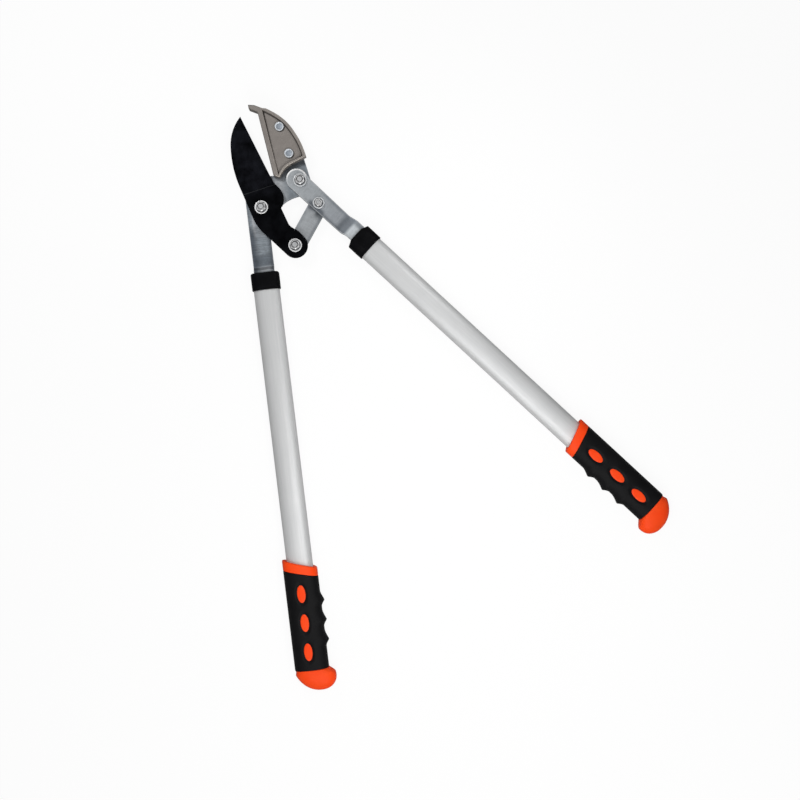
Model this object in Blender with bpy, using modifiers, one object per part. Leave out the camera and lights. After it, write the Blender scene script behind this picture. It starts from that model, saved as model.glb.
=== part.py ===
"""Anvil lopper with a compound cutting head, oval tube handles and moulded grips.

The tool lies flat with its handles partly open. The origin is on the axis of the main
pivot, at the level of the surface that the tool lies on. +Y runs along the anvil-side
handle towards the cutting head, +X towards the lever-side handle and +Z up.
All sizes are in metres.
"""

import math

import bmesh
import bpy
from mathutils import Matrix, Vector

# Clearances
FIT = 0.0003                    # between solids that rest, turn or slide on each other
LOOSE_FIT = 0.0020              # extra radius of the link's hole at the blade
CUT_BEYOND = 0.0200             # how far a cutter reaches past what it cuts

# Facets
ARC_ERROR = 0.0001              # most that a chord may cut off a round outline
ARC_STEP = math.radians(20)     # and the largest turn between two of its points
TURN_STEPS = 20                 # facets round a turned piece
OVAL_STEPS = 20                 # facets round a tube, collar or grip

# Layers of the cutting head, from the surface up
PLATE_THICKNESS = 0.0050        # anvil arm, link, blade and lever arm
SPACER_THICKNESS = 0.0010       # washer that turns between two plates

# Large pivot bolts: main pivot, blade pivot and the link's end at the blade
BOLT_DIAMETER = 0.0080          # of the smooth shank that the plates turn on
THREAD_DIAMETER = 0.0060        # of the thinner end that takes the nut
HEAD_FLATS = 0.0130
HEAD_HEIGHT = 0.0053
WASHER_DIAMETER = 0.0160
WASHER_THICKNESS = 0.0016
NUT_FLATS = 0.0100
NUT_HEIGHT = 0.0046
NUT_COLLAR_DIAMETER = 0.0090    # round top that holds the locking ring
NUT_COLLAR_HEIGHT = 0.0016
BOLT_END = 0.0010               # thread that stands out of the nut
HEXAGON_CHAMFER = 0.08          # share of the width across flats

# Small bolt: the link's end at the lever arm
SMALL_BOLT_DIAMETER = 0.0060
SMALL_THREAD_DIAMETER = 0.0050
SMALL_HEAD_FLATS = 0.0100
SMALL_HEAD_HEIGHT = 0.0040
SMALL_WASHER_DIAMETER = 0.0140
SMALL_WASHER_THICKNESS = 0.0012
SMALL_NUT_FLATS = 0.0080
SMALL_NUT_HEIGHT = 0.0038
SMALL_NUT_COLLAR_DIAMETER = 0.0072
SMALL_NUT_COLLAR_HEIGHT = 0.0012

# Pivots. The main pivot is the origin.
HANDLE_SPREAD = math.radians(40.4)      # between the two handles as the tool lies
BLADE_PIVOT = (-0.0497, -0.0267)
LINK_AT_LEVER = (-0.0049, -0.0348)      # in the lever handle's own axes, from the main pivot
LINK_AT_BLADE = (0.0347, -0.0499)       # from the blade pivot

# Jaws
JAW_OPENING = math.radians(12.6)        # turn of the blade from this pose to closed
ANVIL_TILT = math.radians(7.3)          # cutting face of the anvil, from +Y
EDGE_REACH = 0.0250                     # from the blade pivot square to the cutting edge
FACE_START = 0.0331                     # from there along the anvil's face to its lower end
FACE_LENGTH = 0.0770

# Anvil
ANVIL_DEPTH = 0.0110
ANVIL_POCKET_DEPTH = 0.0040
ANVIL_FACE_RIM = 0.0043
ANVIL_BACK_RIM = 0.0034
ANVIL_FOOT_RIM = 0.0022
ANVIL_BACK_X = 0.0113                   # furthest right that the back's circle reaches
ANVIL_BACK_Y = 0.0154                   # and the height of that place
ANVIL_BACK_RADIUS = 0.0864
ANVIL_FOOT_CENTRE = (0.0009, -0.0050)   # of the hollow next to the toe
ANVIL_FOOT_RADIUS = 0.0266
ANVIL_FOOT_SLOPE = math.radians(20)     # of the straight part between hollow and back
ANVIL_TOE_ANGLE = math.radians(156.5)   # end of the hollow, next to the cutting face
ANVIL_CROWN_ANGLE = math.radians(58.5)  # end of the back's arc, next to the hook
ANVIL_CORNER_RADIUS = 0.0012
HOOK = (                                # outline from the face's upper end
    (0.0044, 0.0042),
    (-0.0048, 0.0088, 0.0060),
    (-0.0120, 0.0101),
    (-0.0117, 0.0049),
)
RIVET_DIAMETER = 0.0060
RIVET_HEAD_DIAMETER = 0.0108
RIVET_HEAD_HEIGHT = 0.0024
RIVET_CROWN = ((0.50, 0.90), (0.82, 0.60))  # shares of the head's radius and height
RIVET_BACK_BEVEL = 0.85
RIVETS = {                              # height along the face, and the head's gap to the
    "upper": (0.0549, 0.0003),          # pocket's back wall
    "lower": (0.0211, 0.0095),
}

# Anvil arm
ARM_X = -0.0562                         # middle of the arm over the handle
ARM_WIDTH = 0.0245
ARM_NECK_FILLET = 0.0440
ARM_FOOT = -0.0169                      # height of the lower edge under the main pivot
ARM_FOOT_SLOPE = 0.156
ARM_HEEL_X = 0.0149                     # right end of the lower edge
ARM_HEEL_RADIUS = 0.0130
ARM_INSET = 0.0036                      # edge inside the anvil's back
ARM_FACE_INSET = 0.0040                 # edge behind the anvil's cutting face
ARM_TONGUE = 0.0640                     # along the face to the end under the anvil
ARM_TONGUE_RADIUS = 0.0050
ARM_TOP = 0.0106                        # height of the upper edge beside the anvil
ARM_BROW = (-0.0500, 0.0080)            # left end of that edge and its radius
ARM_SHOULDER = (-0.0130, 0.0120)        # height and radius of the shoulder over the handle
ARM_JOGGLE_START = 0.0960               # from the main pivot down the handle
ARM_JOGGLE_LENGTH = 0.0060

# Lever arm, in the lever handle's own axes
LEVER_AXIS_X = -0.0019                  # handle's axis beside the main pivot
LEVER_END_RADIUS = 0.0129
LEVER_END_CENTRE = (-0.0018, 0.0039)
LEVER_ARM_X = -0.0024                   # middle of the arm's straight part
LEVER_WIDTH = 0.0221
LEVER_THROAT = (0.0092, -0.0085)        # where its right edge meets the round end
LEVER_NECK_X = 0.0001                   # middle of its neck, next to the collar
LEVER_NECK_WIDTH = 0.0223
LEVER_NECK_RIGHT = (0.0725, 0.0830)     # heights between which the right edge steps to the neck
LEVER_NECK_LEFT = (0.0780, 0.0850)      # and those of the left edge
LEVER_NECK_FILLET = 0.0150
LEVER_JOGGLE_START = 0.0735
LEVER_JOGGLE_LENGTH = 0.0125

# Link
LINK_WIDTH = 0.0223

# Blade, outline from the blade pivot
BLADE_EDGE_START = 0.0220               # along the edge from the foot of EDGE_REACH
BLADE_EDGE_END = 0.1088
BLADE_NOSE = (-0.0262, 0.0970, 0.0555)  # corner and radius of the spine's turn to the tip
BLADE_BELLY = (-0.0304, 0.0522, 0.1350)     # and of its turn to the tail
BLADE_ELBOW = (-0.0085, -0.0218, 0.0455)
BLADE_TAIL_RADIUS = 0.0148
BLADE_KNUCKLE = (0.0407, -0.0336, 0.0090)
BLADE_ARMPIT = (0.0305, -0.0258, 0.0130)
BLADE_NOTCH = (0.0228, -0.0024, 0.0015)
BLADE_SHOULDER_CENTRE = (0.0087, 0.0090)
BLADE_SHOULDER_RADIUS = 0.0189
BLADE_SHOULDER_ARC = (math.radians(-33), math.radians(44))
GRIND_START = (-0.0164, 0.0180)         # where the ground part's step meets the spine
GRIND_STEP_ANGLE = math.radians(11.5)
GRIND_STEP = 0.0003                     # depth of the step there
GRIND_WIDTH = 0.0460                    # of the slope from step to cutting edge
EDGE_LAND = 0.0006                      # flat left on the cutting edge

# Handle tubes
HANDLE_AXIS_X = -0.0558                 # anvil-side handle beside the main pivot
TUBE_WIDTH = 0.0315
TUBE_DEPTH = 0.0175
TUBE_WALL = 0.0014
TUBE_SHOWN = 0.3300                     # bare tube between collar and grip
TUBE_IN_GRIP = 0.1150
TUBE_POWER = 2.3                        # exponent of the oval section

# Collars and the parts inside the tubes
ANVIL_COLLAR_END = 0.1252               # collar's lower end, down the handle
ANVIL_COLLAR_LENGTH = 0.0210
ANVIL_COLLAR_SHOULDER = (0.0010, 0.0008)    # length and depth of the bevel at its head end
LEVER_COLLAR_END = 0.1170
LEVER_COLLAR_LENGTH = 0.0238
LEVER_COLLAR_SHOULDER = (0.0030, 0.0058)
COLLAR_WIDTH = 0.0343
COLLAR_DEPTH = 0.0203
COLLAR_WEB = 0.0045                     # closed end of the collar round the arm
COLLAR_POWER = 2.8
INSERT_LENGTH = 0.0550
NECK_IN_COLLAR = 0.0040                 # full width of an arm inside its collar
TANG_WIDTH = 0.0180
TANG_LENGTH = 0.0480                    # of the arm, inside the tube
TANG_PIN_DIAMETER = 0.0050
TANG_PIN_INSET = 0.0075                 # from the tube's end

# Grips: s runs down the grip from its head end, 'inner' is the side of the other handle
GRIP_OUTER = 0.0206
GRIP_INNER = 0.0207
GRIP_DEPTH = 0.0266
GRIP_POWER = 2.5
GRIP_LENGTH = 0.1270                    # band and cover
CAP_LENGTH = 0.0265
CAP_BULGE = 0.0038
CAP_START = 0.0002                      # middle of the cap beside the handle's axis, at its start
CAP_SWEEP = 0.0077                      # and further towards the inner side at its tip
CAP_RISE = 0.30                         # share of the cap over which it swells
CAP_BEND = 0.6                          # exponent of its bend towards the inner side
CAP_WIDTH_POWER = 2.4                   # exponents of its rounding in plan and from the side
CAP_DEPTH_POWER = 2.6
CAP_STATIONS = (0.0, 0.10, 0.22, 0.38, 0.56, 0.74, 0.88, 0.96, 0.99)
BAND_LENGTH = 0.0118
BAND_SLOPE = 0.32
COVER_SLOPE = 0.27
SLOPE_FADE = 0.0300                     # length over which the slope dies out
BAND_EDGE = 0.0010
RIDGE_HEIGHT = 0.0035                   # of the ridges between the fingers
RIDGE_RISE = 0.0120                     # over which a ridge rises, seen from the head end
RIDGE_FALL = 0.0075                     # and over which it falls
RIDGE_POWER = 1.5                       # exponent of both slopes
RIDGE_STEPS = (0.0, 0.2, 0.5, 1.0)      # sections of a slope, as shares of its length
RIDGES = (0.368, 0.554, 0.742)          # their crests, as shares of the grip's length
CORE_WALL = 0.0020                      # of the core over the tube
WINDOWS = (0.276, 0.550, 0.824)         # their middles, as shares of the grip's length
WINDOW_WIDTH = 0.0102
WINDOW_LENGTH = 0.0214
ANVIL_WINDOW_X = -0.0010                # from the handle's axis towards the inner side
LEVER_WINDOW_X = 0.0010
WINDOW_POWER = 2.0
WINDOW_SUNK = 0.0008                    # window below the crown of the grip

# Heights that follow from the layers
REAR_Z = HEAD_HEIGHT + FIT + WASHER_THICKNESS + FIT
SPACER_Z = REAR_Z + PLATE_THICKNESS + FIT
FRONT_Z = SPACER_Z + SPACER_THICKNESS + FIT
HANDLE_Z = SPACER_Z + SPACER_THICKNESS / 2
FRONT_TOP = FRONT_Z + PLATE_THICKNESS
EDGE_Z = FRONT_Z + PLATE_THICKNESS / 2
ANVIL_Z = REAR_Z + PLATE_THICKNESS + FIT
POCKET_Z = ANVIL_Z + ANVIL_DEPTH - ANVIL_POCKET_DEPTH

# Centre of the anvil's back
ANVIL_BACK_CENTRE = (ANVIL_BACK_X - ANVIL_BACK_RADIUS, ANVIL_BACK_Y)

PARTS = "anvil_lopper"
CUTTERS = "anvil_lopper_cutters"


# Scene and materials

def clear_scene():
    """Remove every object that the file holds."""
    for old in list(bpy.data.objects):
        bpy.data.objects.remove(old, do_unlink=True)


def make_collection(name):
    """Return the collection of that name, linked to the scene."""
    collection = bpy.data.collections.get(name)
    if collection is None:
        collection = bpy.data.collections.new(name)
        bpy.context.scene.collection.children.link(collection)
    return collection


def material(name, colour, roughness, metallic):
    """Return the named material, made on first use."""
    made = bpy.data.materials.get(name)
    if made is None:
        made = bpy.data.materials.new(name)
        made.use_nodes = True
        shader = made.node_tree.nodes["Principled BSDF"]
        shader.inputs["Base Color"].default_value = (*colour, 1.0)
        shader.inputs["Roughness"].default_value = roughness
        shader.inputs["Metallic"].default_value = metallic
    return made


def galvanised():
    return material("galvanised_steel", (0.23, 0.26, 0.29), 0.45, 0.85)


def zinc():
    return material("bright_zinc", (0.62, 0.63, 0.64), 0.28, 1.0)


def cast_metal():
    return material("cast_anvil", (0.24, 0.21, 0.185), 0.60, 0.35)


def black_coating():
    return material("black_coated_steel", (0.006, 0.006, 0.008), 0.50, 0.0)


def aluminium():
    return material("satin_aluminium", (0.70, 0.70, 0.69), 0.38, 0.60)


def black_plastic():
    return material("black_plastic", (0.008, 0.008, 0.009), 0.45, 0.0)


def orange_plastic():
    return material("orange_plastic", (1.0, 0.075, 0.010), 0.42, 0.0)


def soft_cover():
    return material("black_soft_cover", (0.012, 0.012, 0.013), 0.70, 0.0)


# Outlines, as lists of (x, y)

def arc(centre, radius, start, end):
    """Return points along an arc, both ends included, angles in radians."""
    step = min(ARC_STEP, 2 * math.acos(1 - ARC_ERROR / radius))
    steps = max(1, math.ceil(abs(end - start) / step - 1e-9))
    angles = [start + (end - start) * i / steps for i in range(steps + 1)]
    return [(centre[0] + radius * math.cos(a), centre[1] + radius * math.sin(a)) for a in angles]


def circle(centre, radius):
    """Return a closed ring of points, the first not repeated."""
    angles = [math.tau * i / TURN_STEPS for i in range(TURN_STEPS)]
    return [(centre[0] + radius * math.cos(a), centre[1] + radius * math.sin(a)) for a in angles]


def oval(half_width, half_depth, power, centre_x=0.0, steps=OVAL_STEPS):
    """Return a superellipse ring, rounder at power 2 and squarer above it."""
    ring = []
    for i in range(steps):
        a = math.tau * i / steps
        x = math.copysign(abs(math.cos(a)) ** (2 / power), math.cos(a))
        y = math.copysign(abs(math.sin(a)) ** (2 / power), math.sin(a))
        ring.append((centre_x + half_width * x, half_depth * y))
    return ring


def rounded(corners):
    """Return a closed outline; a corner with a third value is filleted to that radius."""
    outline = []
    for i, (x, y, *fillet) in enumerate(corners):
        here = Vector((x, y))
        before = (Vector(corners[i - 1][:2]) - here).normalized()
        after = (Vector(corners[(i + 1) % len(corners)][:2]) - here).normalized()
        if not fillet:
            outline.append((x, y))
            continue
        radius = fillet[0]
        half_angle = before.angle(after) / 2
        centre = here + (before + after).normalized() * (radius / math.sin(half_angle))
        first = here + before * (radius / math.tan(half_angle)) - centre
        turn = first.angle_signed(here + after * (radius / math.tan(half_angle)) - centre)
        start = math.atan2(first.y, first.x)
        outline += arc(centre, radius, start, start - turn)
    return outline


def on_line(start, angle, distance):
    """Return the point at a distance from another, the angle taken from +X."""
    return (start[0] + distance * math.cos(angle), start[1] + distance * math.sin(angle))


def line_to_circle(point, angle, centre, radius, leaving=True):
    """Return where a line from a point leaves a circle, or enters it."""
    ahead = Vector((math.cos(angle), math.sin(angle)))
    offset = Vector(point) - Vector(centre)
    along = offset.dot(ahead)
    half_chord = math.sqrt(along ** 2 - offset.length_squared + radius ** 2)
    return on_line(point, angle, (half_chord if leaving else -half_chord) - along)


def direction(centre, point):
    """Return the angle of a point seen from a centre."""
    return math.atan2(point[1] - centre[1], point[0] - centre[0])


def tangent(point, centre, radius, side):
    """Return the angle on a circle where a line from a point touches it."""
    distance = math.dist(point, centre)
    return direction(centre, point) + side * math.acos(radius / distance)


# Objects

def place(obj, parent, location=(0.0, 0.0, 0.0)):
    """Hang an object on its parent and put it at a place in the parent's axes."""
    obj.parent = parent
    obj.location = location


def add_mesh(name, mesh, finish, parent, location=(0.0, 0.0, 0.0)):
    """Make an object of a mesh, among the parts or, without a finish, among the cutters."""
    obj = bpy.data.objects.new(name, mesh)
    make_collection(PARTS if finish else CUTTERS).objects.link(obj)
    if finish:
        mesh.materials.clear()
        mesh.materials.append(finish)
    else:
        obj.hide_render = True
        obj.display_type = 'WIRE'
    place(obj, parent, location)
    return obj


def solid_mesh(shape, name):
    """Turn a closed shape's faces outward and return it as a mesh."""
    shape.normal_update()
    bmesh.ops.recalc_face_normals(shape, faces=shape.faces)
    if shape.calc_volume(signed=True) < 0:
        bmesh.ops.reverse_faces(shape, faces=shape.faces)
    mesh = bpy.data.meshes.new(name)
    shape.to_mesh(mesh)
    shape.free()
    return mesh


def flat_mesh(name, outline, holes, thickness):
    """Return a plate's mesh, standing on z = 0, cut from a filled flat curve."""
    curve = bpy.data.curves.new(name, 'CURVE')
    curve.dimensions = '2D'
    curve.fill_mode = 'BOTH'
    curve.extrude = thickness / 2
    for ring in [outline, *holes]:
        spline = curve.splines.new('POLY')
        spline.points.add(len(ring) - 1)
        for point, (x, y) in zip(spline.points, ring):
            point.co = (x, y, 0.0, 1.0)
        spline.use_cyclic_u = True
    carrier = bpy.data.objects.new(name + "_outline", curve)
    bpy.context.scene.collection.objects.link(carrier)
    filled = bpy.data.meshes.new_from_object(carrier.evaluated_get(bpy.context.evaluated_depsgraph_get()))
    bpy.data.objects.remove(carrier, do_unlink=True)
    shape = bmesh.new()
    shape.from_mesh(filled)
    bmesh.ops.remove_doubles(shape, verts=shape.verts, dist=1e-5)
    bmesh.ops.translate(shape, verts=shape.verts, vec=(0.0, 0.0, thickness / 2))
    return solid_mesh(shape, name)


def flat_plate(name, outline, holes, z, thickness, finish, parent):
    """Add a plate with round holes, its underside at height z."""
    return add_mesh(name, flat_mesh(name, outline, holes, thickness), finish, parent, (0.0, 0.0, z))


def along_handle(name, ring, holes, start, end, finish, parent, axis_x):
    """Add a prism that runs down a handle, its (x, depth) section about the handle's axis."""
    mesh = flat_mesh(name, ring, holes, end - start)
    mesh.transform(Matrix.Rotation(math.radians(90), 4, 'X'))
    return add_mesh(name, mesh, finish, parent, (axis_x, -start, HANDLE_Z))


def turned(name, profile, finish, parent, location):
    """Add a piece turned about Z; its (radius, z) profile runs down its outer side."""
    shape = bmesh.new()
    points = [shape.verts.new((radius, 0.0, z)) for radius, z in profile]
    for upper, lower in zip(points, points[1:]):
        shape.edges.new((upper, lower))
    if profile[0][0] > 0:
        shape.edges.new((points[-1], points[0]))
    mesh = bpy.data.meshes.new(name)
    shape.to_mesh(mesh)
    shape.free()
    obj = add_mesh(name, mesh, finish, parent, location)
    screw = obj.modifiers.new("turn", 'SCREW')
    screw.steps = screw.render_steps = TURN_STEPS
    screw.use_merge_vertices = True
    screw.merge_threshold = 1e-5
    screw.use_smooth_shade = False
    return obj


def loft(name, rings, finish, parent, location=(0.0, 0.0, 0.0)):
    """Add a closed skin through rings of equally many points, capped at both ends."""
    shape = bmesh.new()
    rows = [[shape.verts.new(point) for point in ring] for ring in rings]
    count = len(rings[0])
    for upper, lower in zip(rows, rows[1:]):
        for i in range(count):
            j = (i + 1) % count
            shape.faces.new((upper[i], upper[j], lower[j], lower[i]))
    shape.faces.new(rows[0])
    shape.faces.new(rows[-1])
    return add_mesh(name, solid_mesh(shape, name), finish, parent, location)


def pin_cutter(name, centre, diameter, parent):
    """Add an upright drill that passes through every layer of the tool."""
    shape = bmesh.new()
    bmesh.ops.create_cone(shape, cap_ends=True, segments=TURN_STEPS, radius1=diameter / 2,
                          radius2=diameter / 2, depth=TUBE_DEPTH + 2 * CUT_BEYOND)
    return add_mesh(name, solid_mesh(shape, name), None, parent, (*centre, HANDLE_Z))


def boolean(target, tool, operation):
    """Leave a live exact Boolean on the target."""
    step = target.modifiers.new(tool.name, 'BOOLEAN')
    step.operation = operation
    step.object = tool
    step.solver = 'EXACT'


def pivot_empty(name, location, turn, parent=None):
    """Add the empty on a joint's axis that carries everything turning about it."""
    empty = bpy.data.objects.new(name, None)
    make_collection(PARTS).objects.link(empty)
    empty.empty_display_size = 0.01
    place(empty, parent, location)
    empty.rotation_euler = (0.0, 0.0, turn)
    return empty


# Fasteners

def hexagon(obj, flats, height):
    """Cut a turned blank to a hexagon of the given width across its flats."""
    shape = bmesh.new()
    radius = flats / math.sqrt(3)
    bmesh.ops.create_cone(shape, cap_ends=True, segments=6, radius1=radius, radius2=radius,
                          depth=2 * (height + CUT_BEYOND))
    name = obj.name + "_flats"
    boolean(obj, add_mesh(name, solid_mesh(shape, name), None, obj.parent, obj.location), 'INTERSECT')


def washer(name, centre, z, bore, diameter, thickness, parent):
    """Add a flat washer that stands on height z."""
    inner, outer = bore / 2, diameter / 2
    profile = [(outer, thickness), (outer, 0.0), (inner, 0.0), (inner, thickness)]
    return turned(name, profile, zinc(), parent, (*centre, z))


def bolt(name, centre, head_z, diameters, flats, head_height, shoulder_z, end_z, parent):
    """Add a hexagon bolt, its head at the back; its shank steps down to the thread at a shoulder."""
    (shank, thread), corner = (diameter / 2 for diameter in diameters), flats / math.sqrt(3)
    chamfer = HEXAGON_CHAMFER * flats
    shoulder, length = shoulder_z - head_z, end_z - head_z
    profile = [(0.0, length), (thread - chamfer / 2, length), (thread, length - chamfer / 2),
               (thread, shoulder), (shank, shoulder), (shank, head_height), (corner, head_height),
               (corner, chamfer), (corner - chamfer, 0.0), (0.0, 0.0)]
    obj = turned(name, profile, zinc(), parent, (*centre, head_z))
    hexagon(obj, flats, length)


def nut(name, centre, z, bore, flats, height, collar_diameter, collar_height, parent):
    """Add a locking nut: a hexagon with a round collar on top."""
    inner, corner, collar = bore / 2, flats / math.sqrt(3), collar_diameter / 2
    chamfer = HEXAGON_CHAMFER * flats
    top = height + collar_height
    profile = [(collar - chamfer, top), (collar, top - chamfer), (collar, height),
               (corner - chamfer, height), (corner, height - chamfer), (corner, 0.0),
               (inner, 0.0), (inner, top)]
    obj = turned(name, profile, zinc(), parent, (*centre, z))
    hexagon(obj, flats, top)


def large_pivot(name, centre, parent):
    """Add the bolt, washers, spacer and nut of one large pivot."""
    bore = BOLT_DIAMETER + 2 * FIT
    washer_z = FRONT_TOP + FIT
    shoulder_z = washer_z + WASHER_THICKNESS
    nut_z = shoulder_z + FIT
    end_z = nut_z + NUT_HEIGHT + NUT_COLLAR_HEIGHT + BOLT_END
    bolt(f"{name}_bolt", centre, 0.0, (BOLT_DIAMETER, THREAD_DIAMETER), HEAD_FLATS, HEAD_HEIGHT,
         shoulder_z, end_z, parent)
    washer(f"{name}_head_washer", centre, HEAD_HEIGHT + FIT, bore, WASHER_DIAMETER,
           WASHER_THICKNESS, parent)
    washer(f"{name}_spacer", centre, SPACER_Z, bore, WASHER_DIAMETER, SPACER_THICKNESS, parent)
    washer(f"{name}_nut_washer", centre, washer_z, bore, WASHER_DIAMETER, WASHER_THICKNESS, parent)
    nut(f"{name}_nut", centre, nut_z, THREAD_DIAMETER + 2 * FIT, NUT_FLATS, NUT_HEIGHT,
        NUT_COLLAR_DIAMETER, NUT_COLLAR_HEIGHT, parent)


def small_pivot(name, centre, parent):
    """Add the bolt, washers, spacer and nut at the lever arm's end of the link."""
    bore = SMALL_BOLT_DIAMETER + 2 * FIT
    back_z = REAR_Z - FIT - SMALL_WASHER_THICKNESS
    head_z = back_z - FIT - SMALL_HEAD_HEIGHT
    washer_z = FRONT_TOP + FIT
    shoulder_z = washer_z + SMALL_WASHER_THICKNESS
    nut_z = shoulder_z + FIT
    end_z = nut_z + SMALL_NUT_HEIGHT + SMALL_NUT_COLLAR_HEIGHT + BOLT_END
    bolt(f"{name}_bolt", centre, head_z, (SMALL_BOLT_DIAMETER, SMALL_THREAD_DIAMETER),
         SMALL_HEAD_FLATS, SMALL_HEAD_HEIGHT, shoulder_z, end_z, parent)
    washer(f"{name}_head_washer", centre, back_z, bore, SMALL_WASHER_DIAMETER,
           SMALL_WASHER_THICKNESS, parent)
    washer(f"{name}_spacer", centre, SPACER_Z, bore, SMALL_WASHER_DIAMETER, SPACER_THICKNESS, parent)
    washer(f"{name}_nut_washer", centre, washer_z, bore, SMALL_WASHER_DIAMETER,
           SMALL_WASHER_THICKNESS, parent)
    nut(f"{name}_nut", centre, nut_z, SMALL_THREAD_DIAMETER + 2 * FIT, SMALL_NUT_FLATS,
        SMALL_NUT_HEIGHT, SMALL_NUT_COLLAR_DIAMETER, SMALL_NUT_COLLAR_HEIGHT, parent)


# Cutting head

def face_point(along, behind=0.0):
    """Return a point of the anvil's cutting face, or one behind it."""
    foot = on_line(BLADE_PIVOT, ANVIL_TILT, EDGE_REACH + FIT + behind)
    return on_line(foot, ANVIL_TILT + math.pi / 2, FACE_START + along)


def foot_corner(foot_rim=0.0, back_rim=0.0):
    """Return where the straight part of the foot meets the back, or where their rims' edges meet."""
    end = on_line(ANVIL_FOOT_CENTRE, ANVIL_FOOT_SLOPE + math.pi / 2, ANVIL_FOOT_RADIUS + foot_rim)
    return line_to_circle(end, ANVIL_FOOT_SLOPE, ANVIL_BACK_CENTRE, ANVIL_BACK_RADIUS - back_rim)


def anvil_outline():
    """Return the anvil's outline: cutting face, hollow foot, round back and hook."""
    corner = foot_corner()
    foot = arc(ANVIL_FOOT_CENTRE, ANVIL_FOOT_RADIUS, ANVIL_TOE_ANGLE, ANVIL_FOOT_SLOPE + math.pi / 2)
    back = arc(ANVIL_BACK_CENTRE, ANVIL_BACK_RADIUS, direction(ANVIL_BACK_CENTRE, corner),
               ANVIL_CROWN_ANGLE)
    top_x, top_y = face_point(FACE_LENGTH)
    hook = [(top_x + x, top_y + y, *fillet) for x, y, *fillet in HOOK]
    return rounded([face_point(0.0), *foot, (*corner, ANVIL_CORNER_RADIUS), *back[1:], *hook,
                    (top_x, top_y)])


def pocket_outline():
    """Return the outline of the anvil's pocket, inside its rims."""
    back, foot = ANVIL_BACK_RADIUS - ANVIL_BACK_RIM, ANVIL_FOOT_RADIUS + ANVIL_FOOT_RIM
    up = ANVIL_TILT + math.pi / 2
    corner = foot_corner(ANVIL_FOOT_RIM, ANVIL_BACK_RIM)
    apex = line_to_circle(face_point(0.0, ANVIL_FACE_RIM), up, ANVIL_BACK_CENTRE, back)
    toe = line_to_circle(face_point(FACE_LENGTH, ANVIL_FACE_RIM), up + math.pi,
                         ANVIL_FOOT_CENTRE, foot, leaving=False)
    foot_arc = arc(ANVIL_FOOT_CENTRE, foot, direction(ANVIL_FOOT_CENTRE, toe),
                   ANVIL_FOOT_SLOPE + math.pi / 2)
    back_arc = arc(ANVIL_BACK_CENTRE, back, direction(ANVIL_BACK_CENTRE, corner),
                   direction(ANVIL_BACK_CENTRE, apex))
    return rounded([*foot_arc, (*corner, ANVIL_CORNER_RADIUS), *back_arc[1:]])


def rivet_centre(along, gap):
    """Return the axis of a rivet whose head stands at a gap from the pocket's back wall."""
    reach = ANVIL_BACK_RADIUS - ANVIL_BACK_RIM - gap - RIVET_HEAD_DIAMETER / 2
    return line_to_circle(face_point(along), ANVIL_TILT, ANVIL_BACK_CENTRE, reach)


def anvil_arm_outline():
    """Return the rear arm's outline, from its tang round the main pivot and under the anvil."""
    axis, middle, half = HANDLE_AXIS_X, ARM_X, ARM_WIDTH / 2
    shoulder, end = tang_heights(ANVIL_COLLAR_END, ANVIL_COLLAR_LENGTH)
    back = ANVIL_BACK_RADIUS - ARM_INSET
    tongue = face_point(ARM_TONGUE, ARM_FACE_INSET)
    top = line_to_circle(tongue, ANVIL_TILT, ANVIL_BACK_CENTRE, back)
    back_arc = arc(ANVIL_BACK_CENTRE, back, direction(ANVIL_BACK_CENTRE, foot_corner()),
                   direction(ANVIL_BACK_CENTRE, top))
    root = face_point(0.0, ARM_FACE_INSET)
    return rounded([
        (axis - TANG_WIDTH / 2, -end),
        (axis + TANG_WIDTH / 2, -end),
        (axis + TANG_WIDTH / 2, -shoulder),
        (middle + half, -shoulder),
        (middle + half, ARM_FOOT + ARM_FOOT_SLOPE * (middle + half), ARM_NECK_FILLET),
        (ARM_HEEL_X, ARM_FOOT + ARM_FOOT_SLOPE * ARM_HEEL_X, ARM_HEEL_RADIUS),
        *back_arc[:-1],
        (*top, ARM_TONGUE_RADIUS / 2),
        (*tongue, ARM_TONGUE_RADIUS),
        (root[0], ARM_TOP),
        (ARM_BROW[0], ARM_TOP, ARM_BROW[1]),
        (middle - half, *ARM_SHOULDER),
        (middle - half, -shoulder),
        (axis - TANG_WIDTH / 2, -shoulder),
    ])


def lever_arm_outline():
    """Return the front arm's outline in the lever handle's axes."""
    middle, half = LEVER_ARM_X, LEVER_WIDTH / 2
    neck, neck_half = LEVER_NECK_X, LEVER_NECK_WIDTH / 2
    right_top, right_bottom = LEVER_NECK_RIGHT
    left_top, left_bottom = LEVER_NECK_LEFT
    shoulder, end = tang_heights(LEVER_COLLAR_END, LEVER_COLLAR_LENGTH)
    left = (middle - half, -left_top)
    round_end = arc(LEVER_END_CENTRE, LEVER_END_RADIUS,
                    tangent(LEVER_THROAT, LEVER_END_CENTRE, LEVER_END_RADIUS, 1),
                    tangent(left, LEVER_END_CENTRE, LEVER_END_RADIUS, -1) + math.tau)
    return rounded([
        (LEVER_AXIS_X - TANG_WIDTH / 2, -end),
        (LEVER_AXIS_X + TANG_WIDTH / 2, -end),
        (LEVER_AXIS_X + TANG_WIDTH / 2, -shoulder),
        (neck + neck_half, -shoulder),
        (neck + neck_half, -right_bottom, LEVER_NECK_FILLET),
        (middle + half, -right_top, LEVER_NECK_FILLET),
        (*LEVER_THROAT, LEVER_NECK_FILLET),
        *round_end,
        (*left, LEVER_NECK_FILLET),
        (neck - neck_half, -left_bottom, LEVER_NECK_FILLET),
        (neck - neck_half, -shoulder),
        (LEVER_AXIS_X - TANG_WIDTH / 2, -shoulder),
    ])


def link_outline(length):
    """Return the link's outline: two round ends, the far one down its own -Y."""
    radius = LINK_WIDTH / 2
    return arc((0.0, 0.0), radius, 0.0, math.pi) + arc((0.0, -length), radius, math.pi, math.tau)


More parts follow.
